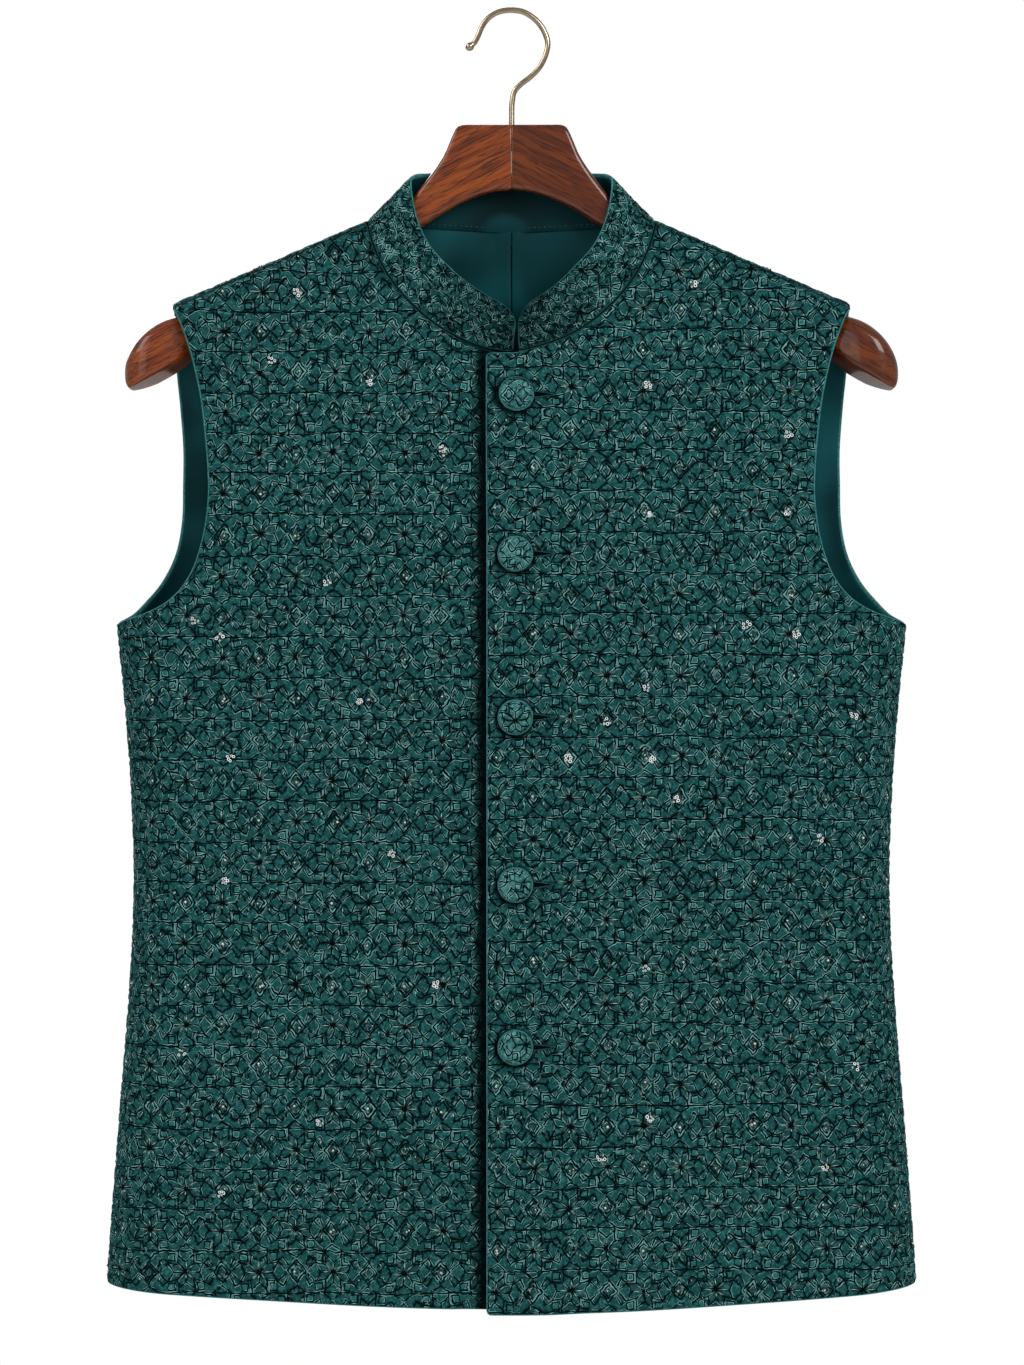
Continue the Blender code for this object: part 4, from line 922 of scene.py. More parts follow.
def velvet_material(name, scale, low, high, painted_crown_light, groove=1.0, dim="021012", bright="3B817F"):
    """Polyester velvet, quilted: a matt pile, with painted shade making it near black in its
    stitched grooves, painted highlights where the padding rolls over beside them, and painted
    light on the padded crowns and the rolled edges."""
    material, tree, shader, coords = new_material(name)
    uv = node(tree, "UVMap", {}, uv_map="cloth")
    waver = node(tree, "TexNoise", {"Vector": uv, "Scale": WAVER_SCALE, "Detail": 1.0}, "Color")
    waver = node(tree, "VectorMath", {0: waver, 1: (0.5, 0.5, 0.5)}, operation="SUBTRACT")
    waver = node(tree, "VectorMath", {0: waver, 1: WAVER}, operation="MULTIPLY")
    blocks = node(tree, "VectorMath", {0: uv, 1: waver}, operation="ADD")
    gap, spokes, middle, patch = quilt_gaps(tree, blocks, scale)
    cloud = node(tree, "TexNoise", {"Vector": coords, "Scale": CLOUD_SCALE, "Detail": 3.0})
    nap = node(tree, "TexNoise", {"Vector": coords, "Scale": NAP_SCALE, "Detail": 3.0})
    pile = node(tree, "TexNoise",
                {"Vector": coords, "Scale": PILE_SCALE, "Detail": 2.0, "Roughness": 0.7})
    broken = node(tree, "TexNoise", {"Vector": coords, "Scale": BROKEN_SCALE, "Detail": 0.0})
    edge = node(tree, "Attribute", {}, "Fac", attribute_name="edge_gap")
    inside = node(tree, "MapRange", {0: edge, 1: 0.35, 2: 0.95}, **SMOOTH)
    painted_shade = node(tree, "Attribute", {}, "Fac", attribute_name="painted_shade")

    # Where the cloth gets painted shade in a groove or at a star's eye or ray, a painted
    # highlight where it rolls over beside a groove, or painted light on a cell's crown, by the
    # distance from it in millimetres.
    lifted = node(tree, "MapRange", {0: gap, 1: 0.26 * groove, 2: 0.60 * groove}, **SMOOTH)
    crown = node(tree, "MapRange", {0: gap, 1: 0.6, 2: 1.9}, **SMOOTH)
    eye = node(tree, "MapRange", {0: middle, 1: 0.7 * groove, 2: 1.5 * groove}, **SMOOTH)
    ray = node(tree, "MapRange", {0: spokes, 1: 0.45 * groove, 2: 1.1 * groove, 3: 0.45},
               **SMOOTH)
    # A painted highlight on the roll beside a groove, broken up in places.
    beside = node(tree, "MapRange", {0: gap, 1: 0.45 * groove, 2: 0.62 * groove}, **SMOOTH)
    beyond = node(tree, "MapRange", {0: gap, 1: 0.75, 2: 0.95, 3: 1.0, 4: 0.0}, **SMOOTH)
    glint = node(tree, "Math", {0: beside, 1: beyond}, operation="MULTIPLY")
    chance = node(tree, "MapRange", {0: broken, 1: 0.48, 2: 0.62}, **SMOOTH)
    glint = node(tree, "Math", {0: glint, 1: chance}, operation="MULTIPLY")

    tone = node(tree, "Mix", {"Factor": 0.5, "A": cloud, "B": nap})
    tone = node(tree, "MapRange", {0: tone, 1: 0.36, 2: 0.62}, **SMOOTH)
    cloth = node(tree, "Mix", {0: tone, 6: low, 7: high}, 2, **COLORS)
    sunk = node(tree, "MapRange", {0: pile, 1: 0.50, 2: 0.60, 4: 0.80}, **SMOOTH)
    cloth = node(tree, "Mix", {0: sunk, 6: cloth, 7: dim}, 2, **COLORS)
    proud = node(tree, "MapRange", {0: pile, 1: 0.36, 2: 0.46, 3: 0.60, 4: 0.0}, **SMOOTH)
    cloth = node(tree, "Mix", {0: proud, 6: cloth, 7: bright}, 2, **COLORS)
    # Painted light: the padded cells are paler on their crowns and inside the little squares.
    lit = node(tree, "MapRange", {0: patch, 1: -0.8, 2: -0.4, 3: 0.75, 4: 0.0}, **SMOOTH)
    lit = node(tree, "Math", {0: crown, 1: 0.35, 2: lit}, operation="MULTIPLY_ADD")
    cloth = node(tree, "Mix", {0: lit, 6: cloth, 7: painted_crown_light}, 2, **COLORS)
    shaded = node(tree, "Mix", {0: glint, 6: cloth, 7: GLINT}, 2, **COLORS)
    shade = node(tree, "Math", {0: lifted, 1: ray}, operation="MULTIPLY")
    shade = node(tree, "Math", {0: shade, 1: eye}, operation="MULTIPLY")
    shaded = node(tree, "Mix", {0: shade, 6: GROOVE, 7: shaded}, 2, **COLORS)
    # The unquilted rolled edge: plain pile, made paler by painted light on the roll.
    edge_tufts = node(tree, "MapRange", {0: pile, 1: 0.3, 2: 0.7}, **SMOOTH)
    plain = node(tree, "Mix", {0: edge_tufts, 6: LIT_EDGE_PILE[0], 7: LIT_EDGE_PILE[1]}, 2, **COLORS)
    color = node(tree, "Mix", {0: inside, 6: plain, 7: shaded}, 2, **COLORS)
    # Painted shade from the sheet's attribute darkens the pile to near black.
    color = node(tree, "Mix", {0: painted_shade, 6: color, 7: PAINTED_SHADE}, 2, **COLORS)

    height = node(tree, "Math", {0: crown, 1: 0.5, 2: lifted}, operation="MULTIPLY_ADD")
    height = node(tree, "Math", {0: height, 1: inside}, operation="MULTIPLY")
    height = node(tree, "Math", {0: pile, 1: 0.45, 2: height}, operation="MULTIPLY_ADD")
    bump = node(tree, "Bump", {"Strength": 0.8, "Distance": 0.0006, "Height": height})
    fill(tree, shader, {"Base Color": color, "Normal": bump, "Roughness": 0.8,
                        "Specular IOR Level": 0.015, "Sheen Weight": 0.02,
                        "Sheen Roughness": 0.45, "Sheen Tint": "7FC4BD"})
    return material


def satin_material(name, dark, light):
    """Polyester satin lining: smooth floats with a fine twill, their broad soft lights partly
    painted sheen.
    """
    material, tree, shader, coords = new_material(name)
    sway = node(tree, "TexNoise", {"Vector": coords, "Scale": SWAY_SCALE, "Detail": 1.0})
    slub = node(tree, "TexNoise", {"Vector": coords, "Scale": SLUB_SCALE, "Detail": 1.0})
    # Painted sheen: the satin is paler where its slack swells, on the same waves that the bump
    # shapes.
    painted_sheen = node(tree, "MapRange", {0: sway, 1: 0.40, 2: 0.62}, **SMOOTH)
    color = node(tree, "Mix", {0: painted_sheen, 6: dark, 7: light}, 2, **COLORS)
    # Painted shade from the sheet's attribute, round the bulge in the collar's lining.
    painted_satin_shade = node(tree, "Attribute", {}, "Fac", attribute_name="painted_shade")
    color = node(tree, "Mix", {0: painted_satin_shade, 6: color, 7: "010E10"}, 2, **COLORS)
    twill = node(tree, "TexWave", {"Vector": coords, "Scale": TWILL_SCALE, "Distortion": 0.4},
                 bands_direction="DIAGONAL")
    twill = node(tree, "Math", {0: slub, 1: 0.5, 2: twill}, operation="MULTIPLY_ADD")
    fine = node(tree, "Bump", {"Strength": 0.25, "Distance": 0.0001, "Height": twill})
    bump = node(tree, "Bump",
                {"Strength": 0.6, "Distance": 0.004, "Height": sway, "Normal": fine})
    fill(tree, shader, {"Base Color": color, "Normal": bump, "Roughness": 0.42,
                        "Specular IOR Level": 0.07, "Sheen Weight": 0.02,
                        "Sheen Tint": "3F8F95"})
    return material


def wood_material(name, slope, dark, light):
    """Lotus wood under clear lacquer: long grain streaks with short dark pores."""
    material, tree, shader, coords = new_material(name)
    turned = node(tree, "Mapping",
                  {"Vector": coords, "Rotation": (0.0, math.radians(slope), 0.0)})
    stretched = node(tree, "VectorMath", {0: turned, 1: GRAIN_SCALE}, operation="MULTIPLY")
    grain = node(tree, "TexNoise", {"Vector": stretched, "Scale": 1.0, "Detail": 7.0,
                                    "Roughness": 0.68, "Distortion": 0.25})
    fine = node(tree, "VectorMath", {0: turned, 1: PORE_SCALE}, operation="MULTIPLY")
    pores = node(tree, "TexNoise", {"Vector": fine, "Scale": 1.0, "Detail": 2.0})
    streaks = node(tree, "MapRange", {0: grain, 1: 0.36, 2: 0.66}, **SMOOTH)
    color = node(tree, "Mix", {0: streaks, 6: dark, 7: light}, 2, **COLORS)
    open_pores = node(tree, "MapRange", {0: pores, 1: 0.50, 2: 0.64, 4: 0.75}, **SMOOTH)
    color = node(tree, "Mix", {0: open_pores, 6: color, 7: "2C1108"}, 2, **COLORS)
    bump = node(tree, "Bump", {"Strength": 0.15, "Distance": 0.0003, "Height": pores})
    fill(tree, shader, {"Base Color": color, "Normal": bump, "Roughness": 0.38,
                        "Specular IOR Level": 0.12, "Coat Weight": 0.8,
                        "Coat Roughness": 0.13})
    return material


def metal_material():
    """Polished steel wire with a champagne plating: warm, a little clouded."""
    material, tree, shader, coords = new_material("champagne_steel")
    cloud = node(tree, "TexNoise", {"Vector": coords, "Scale": PLATING_SCALE, "Detail": 2.0})
    color = node(tree, "Mix", {0: cloud, 6: "A08F76", 7: "BFB19B"}, 2, **COLORS)
    dull = node(tree, "MapRange", {0: cloud, 1: 0.3, 2: 0.7, 3: 0.20, 4: 0.25}, **SMOOTH)
    fill(tree, shader, {"Base Color": color, "Roughness": dull, "Metallic": 1.0})
    return material


def plain_material(name, color, roughness, coat=0.0, gloss=0.5, mottled=0.55):
    """A small trimming's finish, with a fine mottle."""
    material, tree, shader, coords = new_material(name)
    mottle = node(tree, "TexNoise", {"Vector": coords, "Scale": MOTTLE_SCALE, "Detail": 1.0})
    mottle = node(tree, "MapRange", {0: mottle, 1: 0.35, 2: 0.65}, **SMOOTH)
    darker = tuple(level * mottled for level in hex_color(color)[:3]) + (1.0,)
    shade = node(tree, "Mix", {0: mottle, 6: darker, 7: color}, 2, **COLORS)
    fill(tree, shader, {"Base Color": shade, "Roughness": roughness, "Coat Weight": coat,
                        "Specular IOR Level": gloss})
    return material


velvet = velvet_material("quilted_velvet", 1.0, "0B292B", "194648", "286362")
# The band's blocks are smaller, so its grooves are narrower.
small_velvet = velvet_material("quilted_velvet_small", 0.8, "0B2729", "1B494B", "265C5B", 0.85)
# Stretched over a button's shell, the pile opens and looks paler.
button_velvet = velvet_material("quilted_velvet_button", 0.8, "1E494B", "437F7E", "528F8D",
                                0.85, "0E2C2E", "6FA9A5")
satin = satin_material("polyester_satin", "083539", "16555B")
# A darker copy of the satin for inside the collar: painted shade in the collar's stand.
shaded_collar_satin = satin_material("polyester_satin_painted_shade", "08343A", "104349")
# Two halves of one board, the right one paler; their grain slopes mirror each other.
wood_left = wood_material("lacquered_lotus_wood", -27.0, "4C1D06", "70320D")
wood_right = wood_material("lacquered_lotus_wood_mirrored", 27.0, "6A2A0A", "944817")
metal = metal_material()
# Twisted rayon: pale and silky, it catches the light as short dashes.
rayon = plain_material("rayon_thread", "A9D0CA", 0.5, gloss=0.2)
# Spun polyester: matt, close to the colour of the cloth that it sews.
topstitch = plain_material("polyester_topstitch", "2C6A6E", 0.7, gloss=0.1)
seam_thread = plain_material("polyester_seam_thread", "0C2A2D", 0.85, gloss=0.05)
# Cord covered in the velvet: its pile is too short to see, so it is plain and matt.
cord_velvet = plain_material("corded_velvet", "215255", 0.85, gloss=0.06)
# The dark inside of a buttonhole.
slit_shade = plain_material("buttonhole_shade", "020A0B", 0.9, gloss=0.02)
# Pearly lacquer over a bead: pale, with a soft highlight.
pearl = plain_material("pearl_bead", "E9E4D8", 0.22, coat=0.6)
# Dark glass: nearly black, with a sharp highlight.
dark_glass = plain_material("dark_glass_bead", "0B2C30", 0.08, coat=1.0)
# Silvered foil on a sequin, drawn white all over: painted reflection for where it flashes.
foil = plain_material("silver_foil_painted_white", "FFFFFF", 0.2, coat=0.8, mottled=0.92)


# --- Fronts and back --------------------------------------------------------------------------
def front_edges(hem_z, lap, start_x):
    """The four edges of a front, its centre line on 0 and its side seam at the right."""
    neck = neck_curve(FRONT, start_x, NECK_STEPS)
    top = neck[0][1] - LAP_TOP_DROP
    side = float(side_seam(SIDE_HEM_Z)) - GAP / 2
    low_in = (-lap + LAP_CORNER, hem_z + LAP_CORNER)
    low_out = (side - HEM_CORNER, SIDE_HEM_Z + HEM_CORNER)
    high_in = (-lap + LAP_CORNER, top - LAP_CORNER)
    bottom = (arc(low_in, LAP_CORNER, 225, 270) + hem_line(hem_z, low_in[0], low_out[0])[1:]
              + arc(low_out, HEM_CORNER, 270, 315)[1:])
    right = (arc(low_out, HEM_CORNER, 315, 360) + side_line(low_out[1])[1:]
             + armhole_curve(FRONT)[1:])
    left = (arc(low_in, LAP_CORNER, 225, 180) + arc(high_in, LAP_CORNER, 180, 90)
            + [(neck[0][0] - GAP, top)] + neck)
    seam = shoulder_line(FRONT)
    marks = [((-lap, UNDERARM_Z), (float(side_seam(UNDERARM_Z)), UNDERARM_Z)),
             *zip([(-lap, FRONT_LOW_MARK), (-lap, top - LAP_CORNER), neck[0]], FRONT_MARKS)]
    return (bottom, right, seam, left), marks


def mirror(points):
    """Points mirrored left to right."""
    return [(-across, up) for across, up in points]


def back_edges():
    """The four edges of the back, both halves in one."""
    side = float(side_seam(SIDE_HEM_Z)) - GAP / 2
    low_out = (side - HEM_CORNER, SIDE_HEM_Z + HEM_CORNER)
    corner = arc(low_out, HEM_CORNER, 270, 315)
    hem = hem_line(BACK_HEM_Z, -low_out[0], low_out[0], 120)
    bottom = mirror(corner[:0:-1]) + hem + corner[1:]
    right = (arc(low_out, HEM_CORNER, 315, 360) + side_line(low_out[1])[1:]
             + armhole_curve(BACK)[1:])
    half = neck_curve(BACK, 0.0, BACK_NECK_STEPS)[:-1] + shoulder_line(BACK)
    seam = mirror(half[:0:-1]) + half
    places = [(float(side_seam(UNDERARM_Z)), UNDERARM_Z), BACK_MARK]
    marks = [((-x, z), (x, z)) for x, z in places]
    return (bottom, right, seam, mirror(right)), marks


def declare_cloth(piece, sheet, slot, *nodes, rests_on=("hanger_left", "hanger_right")):
    """Hide the solids' nodes that a cloth piece stands for, and work out what it was cut to."""
    if nodes:
        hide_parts(*nodes)
    flat, area = sheet.cut()


def right_dip(across):
    """How far the right front sinks under the edge of the left one, which lies over it."""
    return DIP * ease((DIP_FROM - np.abs(across - LAP)) / (DIP_FROM - DIP_FULL))


def front_out(sign, across):
    """How far out from the form a front's inner face lies."""
    return lap_lift(across) if sign > 0 else -right_dip(across)


def near_seam(flat, path):
    """1 on a seam's path over the flat cloth, fading to 0 beside it."""
    x, y = flat.T
    low, high = np.min(path, axis=0) - SEAM_SHADE, np.max(path, axis=0) + SEAM_SHADE
    close = (x > low[0]) & (x < high[0]) & (y > low[1]) & (y < high[1])
    gap = np.full(x.shape, SEAM_SHADE)
    for start, end in zip(path, path[1:]):
        gap[close] = np.minimum(gap[close], line_gap(x[close], y[close], (start, end)))
    return ease(1.0 - gap / SEAM_SHADE)


def side_seam_path():
    """The side seam on the flat cloth."""
    return [(float(side_seam(up)), up) for up in np.linspace(SIDE_HEM_Z, UNDERARM_Z, 30)]


def make_front(name, node_name, edges, marks, sign):
    """One quilted front; sign is -1 for the wearer's right."""
    sheet = Sheet(edges, marks, CELL_ACROSS, CELL_UP, EDGE_BEND)
    neck = edges[3][-NECK_STEPS - 1:]

    # Painted shade along the neck, shoulder and side seams, beside the lap on the right front,
    # and round each button and along each buttonhole on the left front.
    def shade(flat):
        across, up = flat.T
        dark = np.maximum.reduce([near_seam(flat, path) for path
                                  in (neck, edges[2], side_seam_path())])
        if sign < 0:
            beside = ease((LAP + FOLD_SHADE_REACH - across) / FOLD_SHADE_FADE)
            return np.maximum(dark, FOLD_SHADE * beside)
        for height in BUTTON_HEIGHTS:
            gap = np.hypot(across - CENTRE_X + BUTTON_SHADE_LEFT,
                           up - height + BUTTON_SHADE_DOWN) - BUTTON_RADIUS
            below = ease(BUTTON_SHADE_REACH - gap / SHADE_FADE)
            dark = np.maximum(dark, BUTTON_SHADE * below)
            hole = line_gap(across, up,
                            ((HOLE_START, height), (HOLE_END - HOLE_SHADE_SHORT, height)))
            dark = np.maximum(dark, HOLE_SHADE * ease(HOLE_SHADE_REACH - hole / SHADE_FADE))
        return dark

    def place_inner(flat, out, edge_gap):
        across, up = flat.T
        return form_point(FRONT, across * sign, up, out + front_out(sign, across))

    def place(flat, out, edge_gap):
        return place_inner(flat, raised(node_name, flat, out, edge_gap), edge_gap)

    piece = make_sheet(name, sheet, place, lambda flat: blocks_at(node_name, flat), velvet,
                       sign < 0, shade)
    declare_cloth(piece, sheet, "quilted_velvet", node_name)
    inner = Sheet(edges, marks, LINING_CELL, LINING_CELL, EDGE_BEND, LINING_RINGS)
    lining = make_sheet(name.replace("velvet", "satin"), inner, place_inner,
                        lambda flat: flat * MM, satin, sign > 0)
    declare_cloth(lining, inner, "lining_satin", rests_on=[name])


def make_velvet_back():
    """The quilted back."""
    edges, marks = back_edges()
    sheet = Sheet(edges, marks, BACK_CELL, BACK_CELL, BACK_BEND)

    def place(flat, out, edge_gap):
        return form_point(BACK, *flat.T, raised("back", flat, out, edge_gap))

    # Painted shade along the neck and shoulder seam and the side seams.
    def shade(flat):
        turned = np.stack([np.abs(flat[:, 0]), flat[:, 1]], -1)
        return np.maximum(near_seam(turned, edges[2][len(edges[2]) // 2:]),
                          near_seam(turned, side_seam_path()))

    piece = make_sheet("velvet_back", sheet, place, lambda flat: blocks_at("back", flat), velvet,
                       True, shade)
    declare_cloth(piece, sheet, "quilted_velvet", "back")


def lining_edges():
    """The four edges of one half of the back's lining, its centre seam at the left."""
    hem = [(across - LINING_EDGE, up + LINING_HEM_RISE) for across, up
           in hem_line(BACK_HEM_Z, LINING_EDGE + LINING_SEAM,
                       float(side_seam(SIDE_HEM_Z)) - GAP / 2)]
    side = [(across - LINING_EDGE, up) for across, up in side_line(hem[-1][1])]
    right = side + armhole_curve(BACK, LINING_EDGE)[1:-6]
    neck = [(max(across, LINING_SEAM), up - GAP) for across, up
            in neck_curve(BACK, 0.0, BACK_NECK_STEPS)[:-1]]
    shoulder = []
    for x in shoulder_xs(right[-1][0]):
        ridge, radius = ridge_at(x)
        shoulder.append((x, float(ridge - radius + radius * math.radians(LINING_TURN))))
    right[-1] = shoulder[-1]
    left = [(LINING_SEAM, hem[0][1]), (LINING_SEAM, neck[0][1])]
    marks = [((LINING_SEAM, UNDERARM_Z), right[len(side) - 1])]
    return (hem, right, neck + shoulder, left), marks


def make_back_lining(name, node_name, sign):
    """One satin half of the back's inside, sewn down at its edges and loose between them."""
    edges, marks = lining_edges()
    sheet = Sheet(edges, marks, LINING_CELL, LINING_CELL, EDGE_BEND, LINING_RINGS)

    def place(flat, out, edge_gap):
        across, up = flat.T
        seam = ease(1.0 - (across - LINING_SEAM) / LINING_SEAM_LOOSE)
        loose = np.maximum(ease(edge_gap / LINING_LOOSE), seam)
        waves = (np.sin(across / 13.0 + 0.8 * np.sin(up / 70.0))
                 + 0.5 * np.sin(across / 7.0 - up / 45.0))
        swing = LINING_SWING * waves * ease(edge_gap / LINING_SWING_FADE)
        inward = (LINING_GAP - LINING_FREE) * loose
        return form_point(BACK, across * sign, up, out - inward + swing)

    piece = make_sheet(name, sheet, place, lambda flat: flat * MM, satin, sign > 0)
    declare_cloth(piece, sheet, "lining_satin", node_name)


left_edges, left_marks = front_edges(LEFT_HEM_Z, LAP, CENTRE_X + COLLAR_END_GAP / 2)
right_edges, right_marks = front_edges(RIGHT_HEM_Z, UNDER_LAP, COLLAR_END_GAP / 2 - CENTRE_X)
make_front("velvet_front_left", "front_left", left_edges, left_marks, 1)
make_front("velvet_front_right", "front_right", right_edges, right_marks, -1)
make_velvet_back()
make_back_lining("satin_back_left", "back_lining_left", 1)
make_back_lining("satin_back_right", "back_lining_right", -1)


# --- Collar -----------------------------------------------------------------------------------
def collar_top(sign, along):
    """Points of the collar's top edge; sign is 1 on the wearer's left and -1 on the right."""
    along = np.clip(along, 0.0, 1.0)
    x, y, z = (read_table(COLLAR_TOP, "along", along, axis) for axis in "xyz")
    return np.stack([x * sign, y, z], -1)


class CollarBand:
    """The band round the neck, from its right front end to its left one."""

    def __init__(self):
        halves = []
        for start_x in (COLLAR_END_GAP / 2 - CENTRE_X, CENTRE_X + COLLAR_END_GAP / 2):
            front = neck_curve(FRONT, start_x, 90)[:-1]
            if start_x < 0.0:
                front[0] = (start_x, front[0][1])
            back = neck_curve(BACK, 0.0, 60)[::-1][1:]
            half = [(FRONT, *point) for point in front] + [(BACK, *point) for point in back]
            side, across, up = np.array(half).T
            spots = on_form(form_inner, side, across, up)
            steps = np.linalg.norm(np.diff(spots, axis=0), axis=1)
            lengths = np.concatenate([[0.0], np.cumsum(steps)])
            halves.append(np.stack([side, across, up, lengths / lengths[-1]], -1))
        right, left = halves
        right = right * (1.0, -1.0, 1.0, 1.0)
        side, across, up, along = np.concatenate([right, left[-2::-1]]).T
        self.foot_normal = on_form(form_normal, side, across, up)
        lifted = np.where((side == FRONT) & (across > 0.0) & (along < 0.5), lap_lift(across), 0.0)
        inner = on_form(form_inner, side, across, up)
        self.foot = inner + self.foot_normal * lifted[:, None]
        sign = np.copysign(1.0, across)
        self.top = collar_top(sign, along)
        run = collar_top(sign, along + COLLAR_LOOK) - collar_top(sign, along - COLLAR_LOOK)
        self.normal = unit(np.cross(run, self.top - self.foot)) * sign[:, None]
        nearness = np.maximum(1.0 - along / COLLAR_ENDS, 0.0)
        self.top[:, 0] += (CENTRE_X + sign * COLLAR_END_GAP / 2) * nearness
        self.length = np.linalg.norm(self.top - self.foot, axis=1)
        middle = self.foot * (1.0 - COLLAR_MIDDLE) + self.top * COLLAR_MIDDLE
        steps = np.linalg.norm(np.diff(middle, axis=0), axis=1)
        self.runs = np.concatenate([[0.0], np.cumsum(steps)])

    def read(self, table, runs):
        """Rows of a table of vectors at places along the band."""
        return np.stack([np.interp(runs, self.runs, table[:, k]) for k in range(3)], -1)

    def place(self, flat, out):
        """Places at a distance outside the band's inner face; flat is along and up it."""
        runs, rise = flat.T
        foot, top = self.read(self.foot, runs), self.read(self.top, runs)
        share = (rise / np.interp(runs, self.runs, self.length))[:, None]
        normal = ease(share / COLLAR_FOOT)
        normal = unit(self.read(self.foot_normal, runs) * (1.0 - normal)
                      + self.read(self.normal, runs) * normal)
        lift = unit(top - foot) * GAP * (1.0 - share)
        return foot * (1.0 - share) + top * share + lift + normal * out[:, None]

    def edges(self, top_share, low_edge=0.0):
        """The band's four edges laid flat, with rounded front corners."""
        end = self.runs[-1]
        height = np.interp([0.0, COLLAR_CORNER, end - COLLAR_CORNER, end], self.runs,
                           self.length) * top_share
        low, high = (COLLAR_CORNER, height[1] - COLLAR_CORNER), (end - COLLAR_CORNER,
                                                                 height[2] - COLLAR_CORNER)
        inside = (self.runs > COLLAR_CORNER) & (self.runs < end - COLLAR_CORNER)
        along = list(zip(self.runs[inside], self.length[inside] * top_share))
        top = arc(low, COLLAR_CORNER, 135, 90) + along + arc(high, COLLAR_CORNER, 90, 45)
        left = [(0.0, low_edge)] + arc(low, COLLAR_CORNER, 180, 135)
        right = [(end, low_edge)] + arc(high, COLLAR_CORNER, 0, 45)
        marks = [((0.0, low[1]), (end, high[1]))]
        return ([(0.0, low_edge), (end, low_edge)], right, top, left), marks


def make_collar(band):
    """The quilted band and the satin inside it."""
    sheet = Sheet(*band.edges(1.0), CELL_ACROSS, CELL_ACROSS, COLLAR_BEND,
                  rolled_edge(COLLAR_CLOTH))

    def place(flat, out, edge_gap):
        return band.place(flat, raised("collar", flat, out, edge_gap, COLLAR_CLOTH,
                                       COLLAR_SCALE, COLLAR_PUFF))

    # Painted shade towards the collar's ends and along the seam at its foot.
    def shade(flat):
        end = np.minimum(flat[:, 0], band.runs[-1] - flat[:, 0])
        end_shade = COLLAR_END_SHADE * ease(1.0 - end / COLLAR_END_SHADE_FADE)
        return np.maximum(end_shade, ease(1.0 - flat[:, 1] / SEAM_SHADE))

    piece = make_sheet("velvet_collar", sheet, place,
                       lambda flat: blocks_at("collar", flat, COLLAR_SCALE), small_velvet, False,
                       shade)
    declare_cloth(piece, sheet, "quilted_velvet", "collar",
                  rests_on=["velvet_front_left", "velvet_front_right", "velvet_back"])
    inner = Sheet(*band.edges(COLLAR_LINING_SHARE, -COLLAR_OVERLAP), COLLAR_LINING_CELL,
                  COLLAR_LINING_CELL, COLLAR_BEND, LINING_RINGS)

    def bulge_at(flat):
        return np.hypot((flat[:, 0] - band.runs[-1] / 2) / COLLAR_BULGE_WIDE,
                        flat[:, 1] / COLLAR_BULGE_HIGH)

    def place_inner(flat, out, edge_gap):
        kept = 1.0 - 2.0 * COLLAR_LINING_SHORT / band.runs[-1]
        moved = flat * (kept, 1.0) + (COLLAR_LINING_SHORT, 0.0)
        over = COLLAR_OVER_OUT * ease((COLLAR_OVER_HIGH - flat[:, 1]) / COLLAR_OVER_FADE)
        soft = ease(edge_gap / COLLAR_SOFT_FADE)
        bulge = COLLAR_BULGE_OUT * soft * ease((1.1 - bulge_at(flat)) / 0.5)
        return band.place(moved, out - COLLAR_SOFT * soft - over - bulge)

    # Painted shade round the lining's bulge, and less of it beyond the reach.
    def bulge_shade(flat):
        round_bulge = ease((bulge_at(flat) - 0.6) / 0.5)
        beyond = np.abs(flat[:, 0] - band.runs[-1] / 2) / CREASE_REACH
        return round_bulge * np.maximum(CREASE_SHADE * ease(1.0 - beyond), CREASE_AROUND)

    lining = make_sheet("satin_collar", inner, place_inner, lambda flat: flat * MM, shaded_collar_satin,
                        True, bulge_shade)
    declare_cloth(lining, inner, "lining_satin", "collar_lining", rests_on=["velvet_collar"])


collar_band = CollarBand()
make_collar(collar_band)


# --- Round things -----------------------------------------------------------------------------
def make_tube(name, centres, radii, facing, sides, material):
    """A closed tube along a path; facing is a direction across it, one or one for each point."""
    centres, radii = np.asarray(centres, float), np.asarray(radii, float)
    facing = np.broadcast_to(np.asarray(facing, float), centres.shape)
    run = unit(np.gradient(centres, axis=0))
    side = unit(np.cross(facing, run))
    facing = unit(np.cross(run, side))
    bm = bmesh.new()
    bmesh.ops.create_grid(bm, x_segments=len(centres) - 1, y_segments=sides, size=0.5)
    for vert in bm.verts:
        i = round((vert.co.x + 0.5) * (len(centres) - 1))
        turn = (vert.co.y + 0.5) * math.tau
        spot = centres[i] + radii[i] * (math.cos(turn) * side[i] + math.sin(turn) * facing[i])
        vert.co = spot * MM
    return closed_mesh(name, bm, material)


def closed_mesh(name, bm, material):
    """Merge a bmesh's seam and poles, face it outwards and make it a smooth piece."""
    bmesh.ops.remove_doubles(bm, verts=bm.verts, dist=2e-6)
    bmesh.ops.recalc_face_normals(bm, faces=bm.faces)
    mesh = bpy.data.meshes.new(name)
    bm.to_mesh(mesh)
    bm.free()
    mesh.shade_smooth()
    return add_piece(name, mesh, material)


def rounded(path, radius, cap):
    """Radii for a tube whose ends are rounded off over a distance."""
    steps = np.linalg.norm(np.diff(path, axis=0), axis=1)
    lengths = np.concatenate([[0.0], np.cumsum(steps)])
    end = np.minimum(lengths, lengths[-1] - lengths)
    return radius * np.sqrt(np.clip(1.0 - (1.0 - np.minimum(end / cap, 1.0)) ** 2, 0.0, 1.0))


